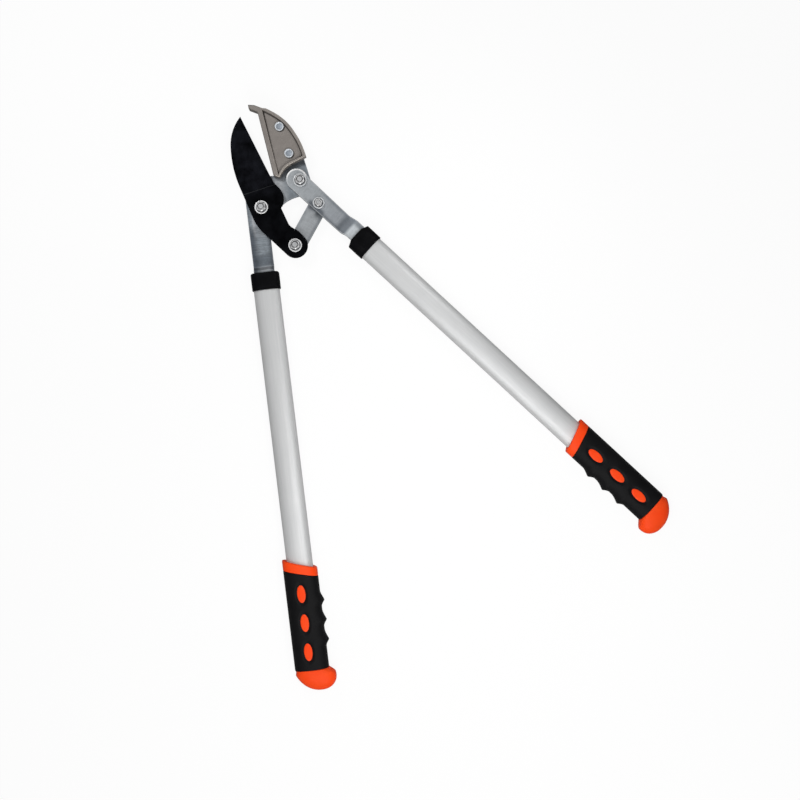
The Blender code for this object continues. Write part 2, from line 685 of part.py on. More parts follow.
def edge_point(along):
    """Return a point of the cutting edge, from the blade pivot."""
    tilt = ANVIL_TILT + JAW_OPENING
    return on_line(on_line((0.0, 0.0), tilt, EDGE_REACH), tilt + math.pi / 2, along)


def blade_outline():
    """Return the blade's outline from its pivot: edge, spine, tail and shoulder."""
    tail = LINK_AT_BLADE
    lower = tangent(BLADE_ELBOW[:2], tail, BLADE_TAIL_RADIUS, 1)
    upper = tangent(BLADE_KNUCKLE[:2], tail, BLADE_TAIL_RADIUS, -1)
    return rounded([
        edge_point(BLADE_EDGE_START),
        edge_point(BLADE_EDGE_END),
        BLADE_NOSE,
        BLADE_BELLY,
        BLADE_ELBOW,
        *arc(tail, BLADE_TAIL_RADIUS, lower - math.tau, upper),
        BLADE_KNUCKLE,
        BLADE_ARMPIT,
        BLADE_NOTCH,
        *arc(BLADE_SHOULDER_CENTRE, BLADE_SHOULDER_RADIUS, *BLADE_SHOULDER_ARC),
    ])


def tube_start(collar_end, collar_length):
    """Return how far down the handle its tube starts, inside the collar."""
    return collar_end - collar_length + COLLAR_WEB + FIT


def tang_heights(collar_end, collar_length):
    """Return how far down the handle an arm narrows to its tang, and where the tang ends."""
    start = tube_start(collar_end, collar_length)
    return collar_end - collar_length + NECK_IN_COLLAR, start + TANG_LENGTH


def tang_pin_spot(collar_end, collar_length, axis_x):
    """Return the middle of the pin through tube and tang."""
    return (axis_x, -tube_start(collar_end, collar_length) - TANG_PIN_INSET)


def joggled(plate, start, length, rise):
    """Return a plate's mesh with the part beyond a line bent up, the rise spread over a length."""
    shape = bmesh.new()
    shape.from_mesh(plate)
    for y in (-start, -start - length):
        everything = shape.verts[:] + shape.edges[:] + shape.faces[:]
        bmesh.ops.bisect_plane(shape, geom=everything, plane_co=(0.0, y, 0.0), plane_no=(0.0, 1.0, 0.0))
    for vert in shape.verts:
        vert.co.z += rise * min(1.0, max(0.0, (-vert.co.y - start) / length))
    return solid_mesh(shape, plate.name)


def arm(name, outline, hole_centres, z, joggle_start, joggle_length, parent):
    """Add a plate whose handle end is bent into the handle's middle plane."""
    holes = [circle(centre, diameter / 2 + FIT) for centre, diameter in hole_centres]
    plate = flat_mesh(name, outline, holes, PLATE_THICKNESS)
    bent = joggled(plate, joggle_start, joggle_length, HANDLE_Z - z - PLATE_THICKNESS / 2)
    return add_mesh(name, bent, galvanised(), parent, (0.0, 0.0, z))


def ground_cutter(name, above, parent):
    """Add the block that grinds one side of the blade down to its edge."""
    tilt = ANVIL_TILT + JAW_OPENING
    sign = 1 if above else -1
    step = Vector((math.cos(GRIND_STEP_ANGLE), math.sin(GRIND_STEP_ANGLE)))
    ahead = Vector((-math.sin(tilt), math.cos(tilt)))
    square = Vector((math.cos(tilt), math.sin(tilt)))
    rise = (PLATE_THICKNESS / 2 - GRIND_STEP - EDGE_LAND / 2) / GRIND_WIDTH
    shape = bmesh.new()
    bmesh.ops.create_cube(shape, size=1.0)
    for vert in shape.verts:
        on_step = -CUT_BEYOND if vert.co.x < 0 else GRIND_WIDTH + CUT_BEYOND
        along = 0.0 if vert.co.y < 0 else BLADE_EDGE_END + CUT_BEYOND
        spot = Vector(GRIND_START) + step * on_step + ahead * along
        ground = EDGE_LAND / 2 + rise * (EDGE_REACH - spot.dot(square))
        height = ground if vert.co.z < 0 else PLATE_THICKNESS
        vert.co = (spot.x, spot.y, sign * height)
    return add_mesh(name, solid_mesh(shape, name), None, parent, (0.0, 0.0, EDGE_Z))


def build_anvil_side():
    """Add the pieces that stay still: the rear arm, the anvil and its rivets."""
    rivets = {which: rivet_centre(*spot) for which, spot in RIVETS.items()}
    drilled = [((0.0, 0.0), BOLT_DIAMETER), (BLADE_PIVOT, BOLT_DIAMETER)]
    drilled += [(centre, RIVET_DIAMETER) for centre in rivets.values()]
    drilled.append((tang_pin_spot(ANVIL_COLLAR_END, ANVIL_COLLAR_LENGTH, HANDLE_AXIS_X), TANG_PIN_DIAMETER))
    arm("anvil_arm", anvil_arm_outline(), drilled, REAR_Z, ARM_JOGGLE_START, ARM_JOGGLE_LENGTH, None)
    holes = [circle(centre, RIVET_DIAMETER / 2 + FIT) for centre in rivets.values()]
    anvil = flat_plate("anvil", anvil_outline(), holes, ANVIL_Z, ANVIL_DEPTH, cast_metal(), None)
    pocket = flat_plate("anvil_pocket", pocket_outline(), [], POCKET_Z, 2 * ANVIL_POCKET_DEPTH,
                        None, None)
    boolean(anvil, pocket, 'DIFFERENCE')
    for which, centre in rivets.items():
        rivet(f"anvil_rivet_{which}", centre)
    large_pivot("main_pivot", (0.0, 0.0), None)
    large_pivot("blade_pivot", BLADE_PIVOT, None)


def rivet(name, centre):
    """Add a rivet with a domed head in the anvil's pocket and a flat one at the back."""
    shank, head = RIVET_DIAMETER / 2, RIVET_HEAD_DIAMETER / 2
    bottom = REAR_Z - FIT - RIVET_HEAD_HEIGHT
    front = POCKET_Z + FIT - bottom
    crown = [(across * head, front + up * RIVET_HEAD_HEIGHT) for across, up in RIVET_CROWN]
    profile = [(0.0, front + RIVET_HEAD_HEIGHT), *crown, (head, front), (shank, front),
               (shank, RIVET_HEAD_HEIGHT), (head, RIVET_HEAD_HEIGHT), (RIVET_BACK_BEVEL * head, 0.0),
               (0.0, 0.0)]
    turned(name, profile, zinc(), None, (*centre, bottom))


def build_blade(pivot):
    """Add the blade and the bolt at its tail."""
    holes = [circle((0.0, 0.0), BOLT_DIAMETER / 2 + FIT), circle(LINK_AT_BLADE, BOLT_DIAMETER / 2 + FIT)]
    blade = flat_plate("blade", blade_outline(), holes, FRONT_Z, PLATE_THICKNESS, black_coating(), pivot)
    for side, above in (("front", True), ("back", False)):
        boolean(blade, ground_cutter(f"blade_grind_{side}", above, pivot), 'DIFFERENCE')
    large_pivot("blade_link", LINK_AT_BLADE, pivot)


def build_link(pivot, length):
    """Add the link, its hole at the blade's tail wide enough for the linkage's constant ratios."""
    holes = [circle((0.0, 0.0), SMALL_BOLT_DIAMETER / 2 + FIT),
             circle((0.0, -length), BOLT_DIAMETER / 2 + FIT + LOOSE_FIT)]
    flat_plate("link", link_outline(length), holes, REAR_Z, PLATE_THICKNESS, galvanised(), pivot)


# Handles

def collar(name, collar_end, length, shoulder, slot_middle, slot_width, axis_x, parent):
    """Add the collar that joins an arm to its tube."""
    head_end = collar_end - length
    rings = []
    for y, depth in ((head_end, shoulder[1]), (head_end + shoulder[0], 0.0), (collar_end, 0.0)):
        ring = oval(COLLAR_WIDTH / 2 - depth, COLLAR_DEPTH / 2 - depth / 2, COLLAR_POWER)
        rings.append([(x, -y, z) for x, z in ring])
    obj = loft(name, rings, black_plastic(), parent, (axis_x, 0.0, HANDLE_Z))
    bore = oval(TUBE_WIDTH / 2 + FIT, TUBE_DEPTH / 2 + FIT, TUBE_POWER)
    boolean(obj, along_handle(f"{name}_bore", bore, [], head_end + COLLAR_WEB, collar_end + CUT_BEYOND,
                              None, parent, axis_x), 'DIFFERENCE')
    half, thick = slot_width / 2 + FIT, PLATE_THICKNESS / 2 + FIT
    slot = [(-half, -thick), (half, -thick), (half, thick), (-half, thick)]
    boolean(obj, along_handle(f"{name}_slot", slot, [], head_end - CUT_BEYOND,
                              head_end + COLLAR_WEB + FIT, None, parent, slot_middle), 'DIFFERENCE')


def tube_set(side, collar_end, collar_length, axis_x, parent):
    """Add a tube, the insert that holds the arm's tang in it, and their cross pin."""
    start = tube_start(collar_end, collar_length)
    half_width, half_depth = TUBE_WIDTH / 2, TUBE_DEPTH / 2
    outside = oval(half_width, half_depth, TUBE_POWER)
    inside = oval(half_width - TUBE_WALL, half_depth - TUBE_WALL, TUBE_POWER)
    plug = oval(half_width - TUBE_WALL - FIT, half_depth - TUBE_WALL - FIT, TUBE_POWER)
    end = collar_end + TUBE_SHOWN + TUBE_IN_GRIP
    tube = along_handle(f"{side}_tube", outside, [inside], start, end, aluminium(), parent, axis_x)
    wide, thick = TANG_WIDTH / 2 + FIT, PLATE_THICKNESS / 2 + FIT
    slot = [(-wide, -thick), (wide, -thick), (wide, thick), (-wide, thick)]
    insert = along_handle(f"{side}_tang_insert", plug, [slot], start, start + INSERT_LENGTH,
                          black_plastic(), parent, axis_x)
    spot = tang_pin_spot(collar_end, collar_length, axis_x)
    hole = pin_cutter(f"{side}_tang_pin_hole", spot, TANG_PIN_DIAMETER + 2 * FIT, parent)
    for drilled in (tube, insert):
        boolean(drilled, hole, 'DIFFERENCE')
    pin = TANG_PIN_DIAMETER / 2
    profile = [(0.0, half_depth), (pin, half_depth), (pin, -half_depth), (0.0, -half_depth)]
    turned(f"{side}_tang_pin", profile, zinc(), parent, (*spot, HANDLE_Z))


def grip_ring(s, slope, outer, inner, half_depth, inner_side, power=GRIP_POWER):
    """Return a section of a grip, leaning so that its inner side lies further down the handle."""
    ring = oval((inner + outer) / 2, half_depth, power, (inner - outer) / 2)
    return [(inner_side * x, -s - slope * x, z) for x, z in ring]


def cover_slope(s):
    """Return how much the cover's sections lean at a place along the grip."""
    return COVER_SLOPE * max(0.0, 1.0 - (s - BAND_LENGTH) / SLOPE_FADE)


def ridge(s):
    """Return how far the ridges between the fingers stand out at a place along the grip."""
    off = [s - share * GRIP_LENGTH for share in RIDGES]
    nearest = min(d / RIDGE_FALL if d > 0 else -d / RIDGE_RISE for d in off)
    return RIDGE_HEIGHT * (1.0 - min(1.0, nearest)) ** RIDGE_POWER


def cover_stations(start, end):
    """Return the places of the cover's sections, with one on every crest."""
    crests = [share * GRIP_LENGTH for share in RIDGES]
    stations = {start, (start + crests[0] - RIDGE_RISE) / 2, (end + crests[-1] + RIDGE_FALL) / 2, end}
    for crest in crests:
        stations.update(crest - RIDGE_RISE * share for share in RIDGE_STEPS)
        stations.update(crest + RIDGE_FALL * share for share in RIDGE_STEPS)
    return sorted(stations)


def cap_ring(t, inner_side):
    """Return a section of the end cap at a share of its length."""
    rise = min(1.0, t / CAP_RISE)
    swell = CAP_BULGE * rise * rise * (3.0 - 2.0 * rise)
    half = ((GRIP_OUTER + GRIP_INNER) / 2 + swell) * math.sqrt(1.0 - t ** CAP_WIDTH_POWER)
    middle = CAP_START + CAP_SWEEP * t ** CAP_BEND
    depth = GRIP_DEPTH / 2 * math.sqrt(1.0 - t ** CAP_DEPTH_POWER)
    return grip_ring(GRIP_LENGTH + t * CAP_LENGTH, 0.0, half - middle, half + middle, depth, inner_side)


def window_cutters(side, kind, clearance, height, window_x, parent, location):
    """Add oval prisms at the three windows, centred on the grip's middle plane."""
    ring = oval(WINDOW_WIDTH / 2 + clearance, WINDOW_LENGTH / 2 + clearance, WINDOW_POWER)
    made = []
    for number, share in enumerate(WINDOWS, 1):
        name = f"{side}_{kind}_{number}"
        x, y, z = location
        made.append(add_mesh(name, flat_mesh(name, ring, [], height), None, parent,
                             (x + window_x, y - share * GRIP_LENGTH, z - height / 2)))
    return made


def grip_core(side, head_end, inner_side, axis_x, window_x, parent):
    """Add the hard core of a grip, with its band, its window pads and its end cap."""
    width = TUBE_WIDTH / 2 + FIT + CORE_WALL
    depth = TUBE_DEPTH / 2 + FIT + CORE_WALL
    crown = GRIP_DEPTH / 2
    location = (axis_x, -head_end, HANDLE_Z)
    rings = [
        grip_ring(0.0, BAND_SLOPE, GRIP_OUTER - BAND_EDGE, GRIP_INNER - BAND_EDGE, crown - BAND_EDGE,
                  inner_side),
        grip_ring(BAND_EDGE, BAND_SLOPE, GRIP_OUTER, GRIP_INNER, crown, inner_side),
        grip_ring(BAND_LENGTH, COVER_SLOPE, GRIP_OUTER, GRIP_INNER, crown, inner_side),
        grip_ring(BAND_LENGTH, COVER_SLOPE, width, width, depth, inner_side, TUBE_POWER),
        grip_ring(GRIP_LENGTH, 0.0, width, width, depth, inner_side, TUBE_POWER),
    ]
    rings += [cap_ring(t, inner_side) for t in CAP_STATIONS]
    core = loft(f"{side}_grip_core", rings, orange_plastic(), parent, location)
    for pad in window_cutters(side, "pad", 0.0, GRIP_DEPTH - 2 * WINDOW_SUNK, inner_side * window_x,
                              parent, location):
        boolean(core, pad, 'UNION')
    bore = oval(TUBE_WIDTH / 2 + FIT, TUBE_DEPTH / 2 + FIT, TUBE_POWER)
    boolean(core, along_handle(f"{side}_grip_bore", bore, [], head_end - CUT_BEYOND,
                               head_end + TUBE_IN_GRIP + FIT, None, parent, axis_x), 'DIFFERENCE')


def grip_cover(side, head_end, inner_side, axis_x, window_x, parent):
    """Add the soft cover moulded round a core, with its finger ridges and windows."""
    location = (axis_x, -head_end, HANDLE_Z)
    start, end = BAND_LENGTH + FIT, GRIP_LENGTH - FIT
    rings = [grip_ring(s, cover_slope(s), GRIP_OUTER, GRIP_INNER + ridge(s), GRIP_DEPTH / 2, inner_side)
             for s in cover_stations(start, end)]
    cover = loft(f"{side}_grip_cover", rings, soft_cover(), parent, location)
    clearance = CORE_WALL + 2 * FIT
    inside = oval(TUBE_WIDTH / 2 + clearance, TUBE_DEPTH / 2 + clearance, TUBE_POWER)
    boolean(cover, along_handle(f"{side}_cover_bore", inside, [], head_end - CUT_BEYOND,
                                head_end + GRIP_LENGTH + CUT_BEYOND, None, parent, axis_x), 'DIFFERENCE')
    for window in window_cutters(side, "window", FIT, GRIP_DEPTH + 2 * CUT_BEYOND, inner_side * window_x,
                                 parent, location):
        boolean(cover, window, 'DIFFERENCE')


def handle(side, collar_end, collar_length, shoulder, neck, inner_side, axis_x, window_x, parent):
    """Add everything below one arm: collar, tube, insert, pin and grip."""
    slot_middle, slot_width = neck
    collar(f"{side}_collar", collar_end, collar_length, shoulder, slot_middle, slot_width, axis_x, parent)
    tube_set(side, collar_end, collar_length, axis_x, parent)
    grip_core(side, collar_end + TUBE_SHOWN, inner_side, axis_x, window_x, parent)
    grip_cover(side, collar_end + TUBE_SHOWN, inner_side, axis_x, window_x, parent)


def main():
    """Build the whole tool."""
    clear_scene()
    build_anvil_side()
    handle("anvil_side", ANVIL_COLLAR_END, ANVIL_COLLAR_LENGTH, ANVIL_COLLAR_SHOULDER,
           (ARM_X, ARM_WIDTH), 1, HANDLE_AXIS_X, ANVIL_WINDOW_X, None)

    blade_pivot = pivot_empty("blade_axis", (*BLADE_PIVOT, 0.0), 0.0)
    build_blade(blade_pivot)

    lever_pivot = pivot_empty("lever_axis", (0.0, 0.0, 0.0), HANDLE_SPREAD)
    drilled = [((0.0, 0.0), BOLT_DIAMETER), (LINK_AT_LEVER, SMALL_BOLT_DIAMETER),
               (tang_pin_spot(LEVER_COLLAR_END, LEVER_COLLAR_LENGTH, LEVER_AXIS_X), TANG_PIN_DIAMETER)]
    arm("lever_arm", lever_arm_outline(), drilled, FRONT_Z, LEVER_JOGGLE_START, LEVER_JOGGLE_LENGTH,
        lever_pivot)
    small_pivot("lever_link", LINK_AT_LEVER, lever_pivot)
    handle("lever_side", LEVER_COLLAR_END, LEVER_COLLAR_LENGTH, LEVER_COLLAR_SHOULDER,
           (LEVER_NECK_X, LEVER_NECK_WIDTH), -1, LEVER_AXIS_X, LEVER_WINDOW_X, lever_pivot)

    tail = Vector(BLADE_PIVOT) + Vector(LINK_AT_BLADE)
    knee = Matrix.Rotation(HANDLE_SPREAD, 2) @ Vector(LINK_AT_LEVER)
    span = tail - knee
    link_pivot = pivot_empty("link_axis", (*LINK_AT_LEVER, 0.0),
                             math.atan2(span.x, -span.y) - HANDLE_SPREAD, lever_pivot)
    build_link(link_pivot, span.length)


main()
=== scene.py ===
"""Looks of the anvil lopper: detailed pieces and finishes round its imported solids.

The tool lies flat with its handles partly open. Sizes are in metres, in the solids' own
frame: the main pivot stands on the origin, +Y runs up the anvil-side handle and +Z up.
"""

from __future__ import annotations

import logging
import math
from dataclasses import dataclass
from enum import Enum
from typing import Callable, Iterable, Sequence, Union

import bmesh
import bpy
from mathutils import Matrix, Vector


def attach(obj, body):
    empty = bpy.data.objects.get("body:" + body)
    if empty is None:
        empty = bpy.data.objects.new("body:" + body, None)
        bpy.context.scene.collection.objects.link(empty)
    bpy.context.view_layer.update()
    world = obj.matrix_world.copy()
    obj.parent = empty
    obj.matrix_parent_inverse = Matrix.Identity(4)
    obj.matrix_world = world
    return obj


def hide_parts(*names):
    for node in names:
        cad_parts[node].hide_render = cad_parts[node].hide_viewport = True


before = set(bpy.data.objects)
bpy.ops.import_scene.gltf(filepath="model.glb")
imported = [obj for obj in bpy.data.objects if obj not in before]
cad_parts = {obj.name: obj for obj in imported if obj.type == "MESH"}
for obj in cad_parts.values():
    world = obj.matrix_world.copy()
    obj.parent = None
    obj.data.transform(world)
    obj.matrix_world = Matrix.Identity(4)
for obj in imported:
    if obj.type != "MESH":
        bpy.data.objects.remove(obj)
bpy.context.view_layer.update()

log = logging.getLogger("anvil_lopper")

Point = tuple[float, float]
Ring = list[Point]
Place = tuple[float, float, float]
Colour = tuple[float, float, float]
Operand = Union["Field", float, tuple]

GAP = 0.0003
TOUCH = 1e-6
HOLE_EDGE = 0.0002
ARC_TURN = 0.12
MITRE_LIMIT = 0.35
# Name of the mesh attribute of painted light: above 0 a painted highlight, below 0 painted shade
SHADE = "shade"
BLACK: Colour = (0.0, 0.0, 0.0)
WHITE: Colour = (1.0, 1.0, 1.0)
NOISE_ROUGHNESS = 0.55


class Body(Enum):
    """The rigid bodies of the tool."""

    ANVIL = "anvil_side"
    LEVER = "lever_side"
    BLADE = "blade"
    LINK = "link"


class Slot(Enum):
    """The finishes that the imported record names."""

    STEEL = "galvanised_steel"
    ZINC = "bright_zinc"
    ANVIL = "cast_anvil"
    COATING = "black_coated_steel"
    TUBE = "satin_aluminium"
    PLASTIC = "black_plastic"
    ORANGE = "orange_plastic"
    RUBBER = "soft_cover"


class Axis(Enum):
    """What a fade is measured along: an axis of the piece, or away from a centre."""

    X = "X"
    Y = "Y"
    AWAY = "away"


def tone(red: int, green: int, blue: int) -> Colour:
    """Return the linear colour that shows as a screen colour of 0 to 255."""
    shares = (value / 255 for value in (red, green, blue))
    return tuple(share / 12.92 if share <= 0.04045 else ((share + 0.055) / 1.055) ** 2.4 for share in shares)


# Shader nodes

class Field:
    """An output of a material's nodes that takes part in Python arithmetic."""

    def __init__(self, graph: "Graph", socket: bpy.types.NodeSocket) -> None:
        """Wrap a socket.

        Args:
            graph: the material's nodes.
            socket: the output to wrap.
        """
        self.graph = graph
        self.socket = socket

    def calculate(self, operation: str, *operands: Operand) -> "Field":
        """Add a Math or Vector Math node.

        Args:
            operation: the node's operation.
            operands: the values of its inputs.

        Returns:
            The node's result.
        """
        kind = "ShaderNodeVectorMath" if self.socket.type == 'VECTOR' else "ShaderNodeMath"
        return self.graph.node(kind, {"operation": operation}, dict(enumerate(operands)))

    def __add__(self, other: Operand) -> "Field":
        """Return self + other."""
        return self.calculate('ADD', self, other)

    def __radd__(self, other: Operand) -> "Field":
        """Return other + self."""
        return self.calculate('ADD', other, self)

    def __sub__(self, other: Operand) -> "Field":
        """Return self - other."""
        return self.calculate('SUBTRACT', self, other)

    def __rsub__(self, other: Operand) -> "Field":
        """Return other - self."""
        return self.calculate('SUBTRACT', other, self)

    def __mul__(self, other: Operand) -> "Field":
        """Return self * other."""
        return self.calculate('MULTIPLY', self, other)

    def __rmul__(self, other: Operand) -> "Field":
        """Return other * self."""
        return self.calculate('MULTIPLY', other, self)

    def __neg__(self) -> "Field":
        """Return -self."""
        return self * -1.0

    def at_least(self, low: float) -> "Field":
        """Return the larger of self and a number."""
        return self.calculate('MAXIMUM', self, low)


class Graph:
    """The nodes of one material."""

    def __init__(self, tree: bpy.types.NodeTree) -> None:
        """Start on a node tree.

        Args:
            tree: the tree that new nodes go into.
        """
        self.tree = tree

    def node(self, kind: str, settings: dict, inputs: dict, output: Union[int, str] = 0) -> Field:
        """Add one node.

        Args:
            kind: the node's type.
            settings: attributes to set first.
            inputs: values or fields for its sockets, by name or index.
            output: the output to return, by name or index.

        Returns:
            That output.
        """
        made = self.tree.nodes.new(kind)
        for name, value in settings.items():
            setattr(made, name, value)
        for key, value in inputs.items():
            self.feed(made.inputs[key], value)
        return Field(self, made.outputs[output])

    def feed(self, socket: bpy.types.NodeSocket, value: Operand) -> None:
        """Link a field to a socket, or set the socket's own value.

        Args:
            socket: the input.
            value: a field, number, colour or vector.
        """
        if isinstance(value, Field):
            self.tree.links.new(value.socket, socket)
        elif socket.type == 'RGBA' and len(value) == 3:
            socket.default_value = (*value, 1.0)
        else:
            socket.default_value = value

    def mix(self, factor: Operand, first: Operand, second: Operand) -> Field:
        """Mix two colours.

        Args:
            factor: share of the second.
            first: the colour at 0.
            second: the colour at 1.

        Returns:
            The mixed colour.
        """
        settings = {"data_type": 'RGBA', "clamp_factor": True}
        return self.node("ShaderNodeMix", settings, {0: factor, 6: first, 7: second}, 2)

    def place(self) -> Field:
        """Return the point on the piece, in the piece's own axes."""
        return self.node("ShaderNodeTexCoord", {}, {}, "Object")

    def part_of(self, vector: Field, axis: str) -> Field:
        """Return one component of a vector, X, Y or Z."""
        return self.node("ShaderNodeSeparateXYZ", {}, {0: vector}, axis)

    def noise(self, size: float, detail: float = 3.0, stretch: Place = (1.0, 1.0, 1.0)) -> Field:
        """Return smooth noise from -0.5 to 0.5, 0 on average.

        Args:
            size: width of its largest features.
            detail: number of finer octaves.
            stretch: how much finer it is along each axis.

        Returns:
            The noise.
        """
        inputs = {"Vector": self.place() * stretch, "Scale": 1.0 / size, "Detail": detail,
                  "Roughness": NOISE_ROUGHNESS}
        return self.node("ShaderNodeTexNoise", {}, inputs) - 0.5

    def step(self, value: Field, start: float, end: float) -> Field:
        """Return a smooth step, 0 where the value is start and 1 where it is end."""
        return self.node("ShaderNodeMapRange", {"interpolation_type": 'SMOOTHSTEP'},
                         {"Value": value, "From Min": start, "From Max": end})

    def shade(self) -> Field:
        """Return the painted light on the mesh: above 0 a painted highlight on edges, below 0 painted shade
        in corners and recesses.
        """
        return self.node("ShaderNodeAttribute", {"attribute_name": SHADE}, {}, "Fac")

    def bump(self, height: Field, depth: float) -> Field:
        """Return a normal roughened by a height.

        Args:
            height: the height, about 1 from its lowest to its highest.
            depth: depth of its full range.

        Returns:
            The normal.
        """
        return self.node("ShaderNodeBump", {}, {"Strength": 1.0, "Distance": depth, "Height": height})


def new_material(name: str, inputs: Callable[[Graph], dict]) -> bpy.types.Material:
    """Make a material of one Principled shader.

    Args:
        name: the material's name.
        inputs: gives the shader's inputs, as values or fields, for the material's graph.

    Returns:
        The material.
    """
    made = bpy.data.materials.new(name)
    made.use_nodes = True
    graph = Graph(made.node_tree)
    shader = made.node_tree.nodes["Principled BSDF"]
    for socket, value in inputs(graph).items():
        graph.feed(shader.inputs[socket], value)
    return made


# Finishes

@dataclass(frozen=True)
class Finish:
    """A surface finish; each kind gives its own shader inputs."""

    name: str
    slot: Slot

    def material(self) -> bpy.types.Material:
        """Return the finish's material, made on first use."""
        return bpy.data.materials.get(self.name) or new_material(self.name, self.inputs)

    def inputs(self, graph: Graph) -> dict:
        """Return the inputs of the Principled shader in a material's graph."""
        raise NotImplementedError


@dataclass(frozen=True)
class Fade:
    """A smooth step from 0 at its start to 1 at its end."""

    start: float
    end: float
    axis: Axis = Axis.Y
    centre: Point = (0.0, 0.0)

    def mask(self, graph: Graph) -> Field:
        """Return the step as a field.

        Args:
            graph: the material's nodes.

        Returns:
            The step, from 0 to 1.
        """
        if self.axis is Axis.AWAY:
            flat = (graph.place() - (*self.centre, 0.0)) * (1.0, 1.0, 0.0)
            value = graph.node("ShaderNodeVectorMath", {"operation": 'LENGTH'}, {0: flat}, "Value")
        else:
            value = graph.part_of(graph.place(), self.axis.value)
        return graph.step(value, self.start, self.end)


@dataclass(frozen=True)
class ToneZone:
    """A zone of another tone, where all its fades are full; on this tool most zones are painted light or
    painted shade.
    """

    colour: Colour
    share: float
    fades: tuple[Fade, ...]

    def over(self, graph: Graph, colour: Operand) -> Field:
        """Lay the zone's tone over a colour.

        Args:
            graph: the material's nodes.
            colour: the colour without it.

        Returns:
            The colour with it.
        """
        mask = self.fades[0].mask(graph)
        for fade in self.fades[1:]:
            mask = mask * fade.mask(graph)
        return graph.mix(mask * self.share, colour, self.colour)


@dataclass(frozen=True)
class RolledSteel(Finish):
    """Galvanised flat bar: mottled, with rolling marks across it, zones of painted light, painted shade and
    tone on it, and a painted highlight on its rounded edges.
    """

    colour: Colour
    # edge is the colour of the painted highlight on the rounded edges
    edge: Colour
    light_shade_and_tone: tuple[ToneZone, ...] = ()
    darkening: float = 0.16
    mottling: float = 0.30
    mottle_strength: float = 1.6
    mottle_size: float = 0.0100
    spot_size: float = 0.0028
    grain: float = 0.3
    grain_size: float = 0.0010
    grain_height: float = 0.6
    marks: float = 0.0
    marks_size: float = 0.0220
    marks_stretch: Place = (1.0, 24.0, 1.0)
    marks_zone: Point = (0.0, 1.0)
    marks_fade: float = 0.012
    metallic: float = 0.40
    roughness: float = 0.42
    mottle_roughness: float = 0.25
    grain_roughness: float = 0.15
    relief: float = 0.00010

    def inputs(self, graph: Graph) -> dict:
        """Work out how the finish looks.

        Args:
            graph: the material's nodes.

        Returns:
            The inputs of its Principled shader.
        """
        mottle = graph.noise(self.mottle_size, 4.0)
        spots = graph.noise(self.spot_size, 3.0)
        grain = graph.noise(self.grain_size, 2.0)
        colour = self.colour
        # lay on the zones of painted light, painted shade and tone
        for stain in self.light_shade_and_tone:
            colour = stain.over(graph, colour)
        veil = self.darkening + mottle * self.mottling * self.mottle_strength + spots * self.mottling
        veil = veil + grain * self.grain
        height = grain * self.grain_height
        if self.marks:
            start, end = self.marks_zone
            rolled = graph.noise(self.marks_size, 3.0, self.marks_stretch)
            zone = Fade(start, start + self.marks_fade).mask(graph)
            zone = zone * Fade(end, end - self.marks_fade).mask(graph)
            veil = veil + rolled * zone * self.marks
            height = height + (rolled + 0.5) * zone
        colour = graph.mix(veil, colour, BLACK)
        # paint the highlight on the rounded edges
        colour = graph.mix(graph.shade().at_least(0.0), colour, self.edge)
        return {
            "Base Color": colour,
            "Metallic": self.metallic,
            "Roughness": self.roughness + mottle * self.mottle_roughness + grain * self.grain_roughness,
            "Normal": graph.bump(height, self.relief),
        }


@dataclass(frozen=True)
class BrightZinc(Finish):
    """Bright plated steel of bolts, nuts, washers and rivets, with painted highlights on its edges and
    painted shade in its recesses.
    """

    colour: Colour = (0.82, 0.83, 0.84)
    stain: Colour = (0.50, 0.52, 0.54)
    # colours of the painted highlight and the painted shade
    bright: Colour = WHITE
    recess_shade: Colour = (0.010, 0.011, 0.014)
    dulling: float = 0.35
    clouding: float = 1.6
    cloud_size: float = 0.0030
    scuff_size: float = 0.0009
    metallic: float = 0.35
    roughness: float = 0.36
    cloud_roughness: float = 0.2
    relief: float = 0.00001

    def inputs(self, graph: Graph) -> dict:
        """Work out how the finish looks.

        Args:
            graph: the material's nodes.

        Returns:
            The inputs of its Principled shader.
        """
        cloud = graph.noise(self.cloud_size, 3.0)
        scuff = graph.noise(self.scuff_size, 2.0)
        shade = graph.shade()
        colour = graph.mix(self.dulling + cloud * self.clouding, self.colour, self.stain)
        # paint the highlights on edges and the shade in recesses
        colour = graph.mix(shade.at_least(0.0), colour, self.bright)
        colour = graph.mix((-shade).at_least(0.0), colour, self.recess_shade)
        return {
            "Base Color": colour,
            "Metallic": self.metallic,
            "Roughness": self.roughness + cloud * self.cloud_roughness,
            "Normal": graph.bump(scuff, self.relief),
        }


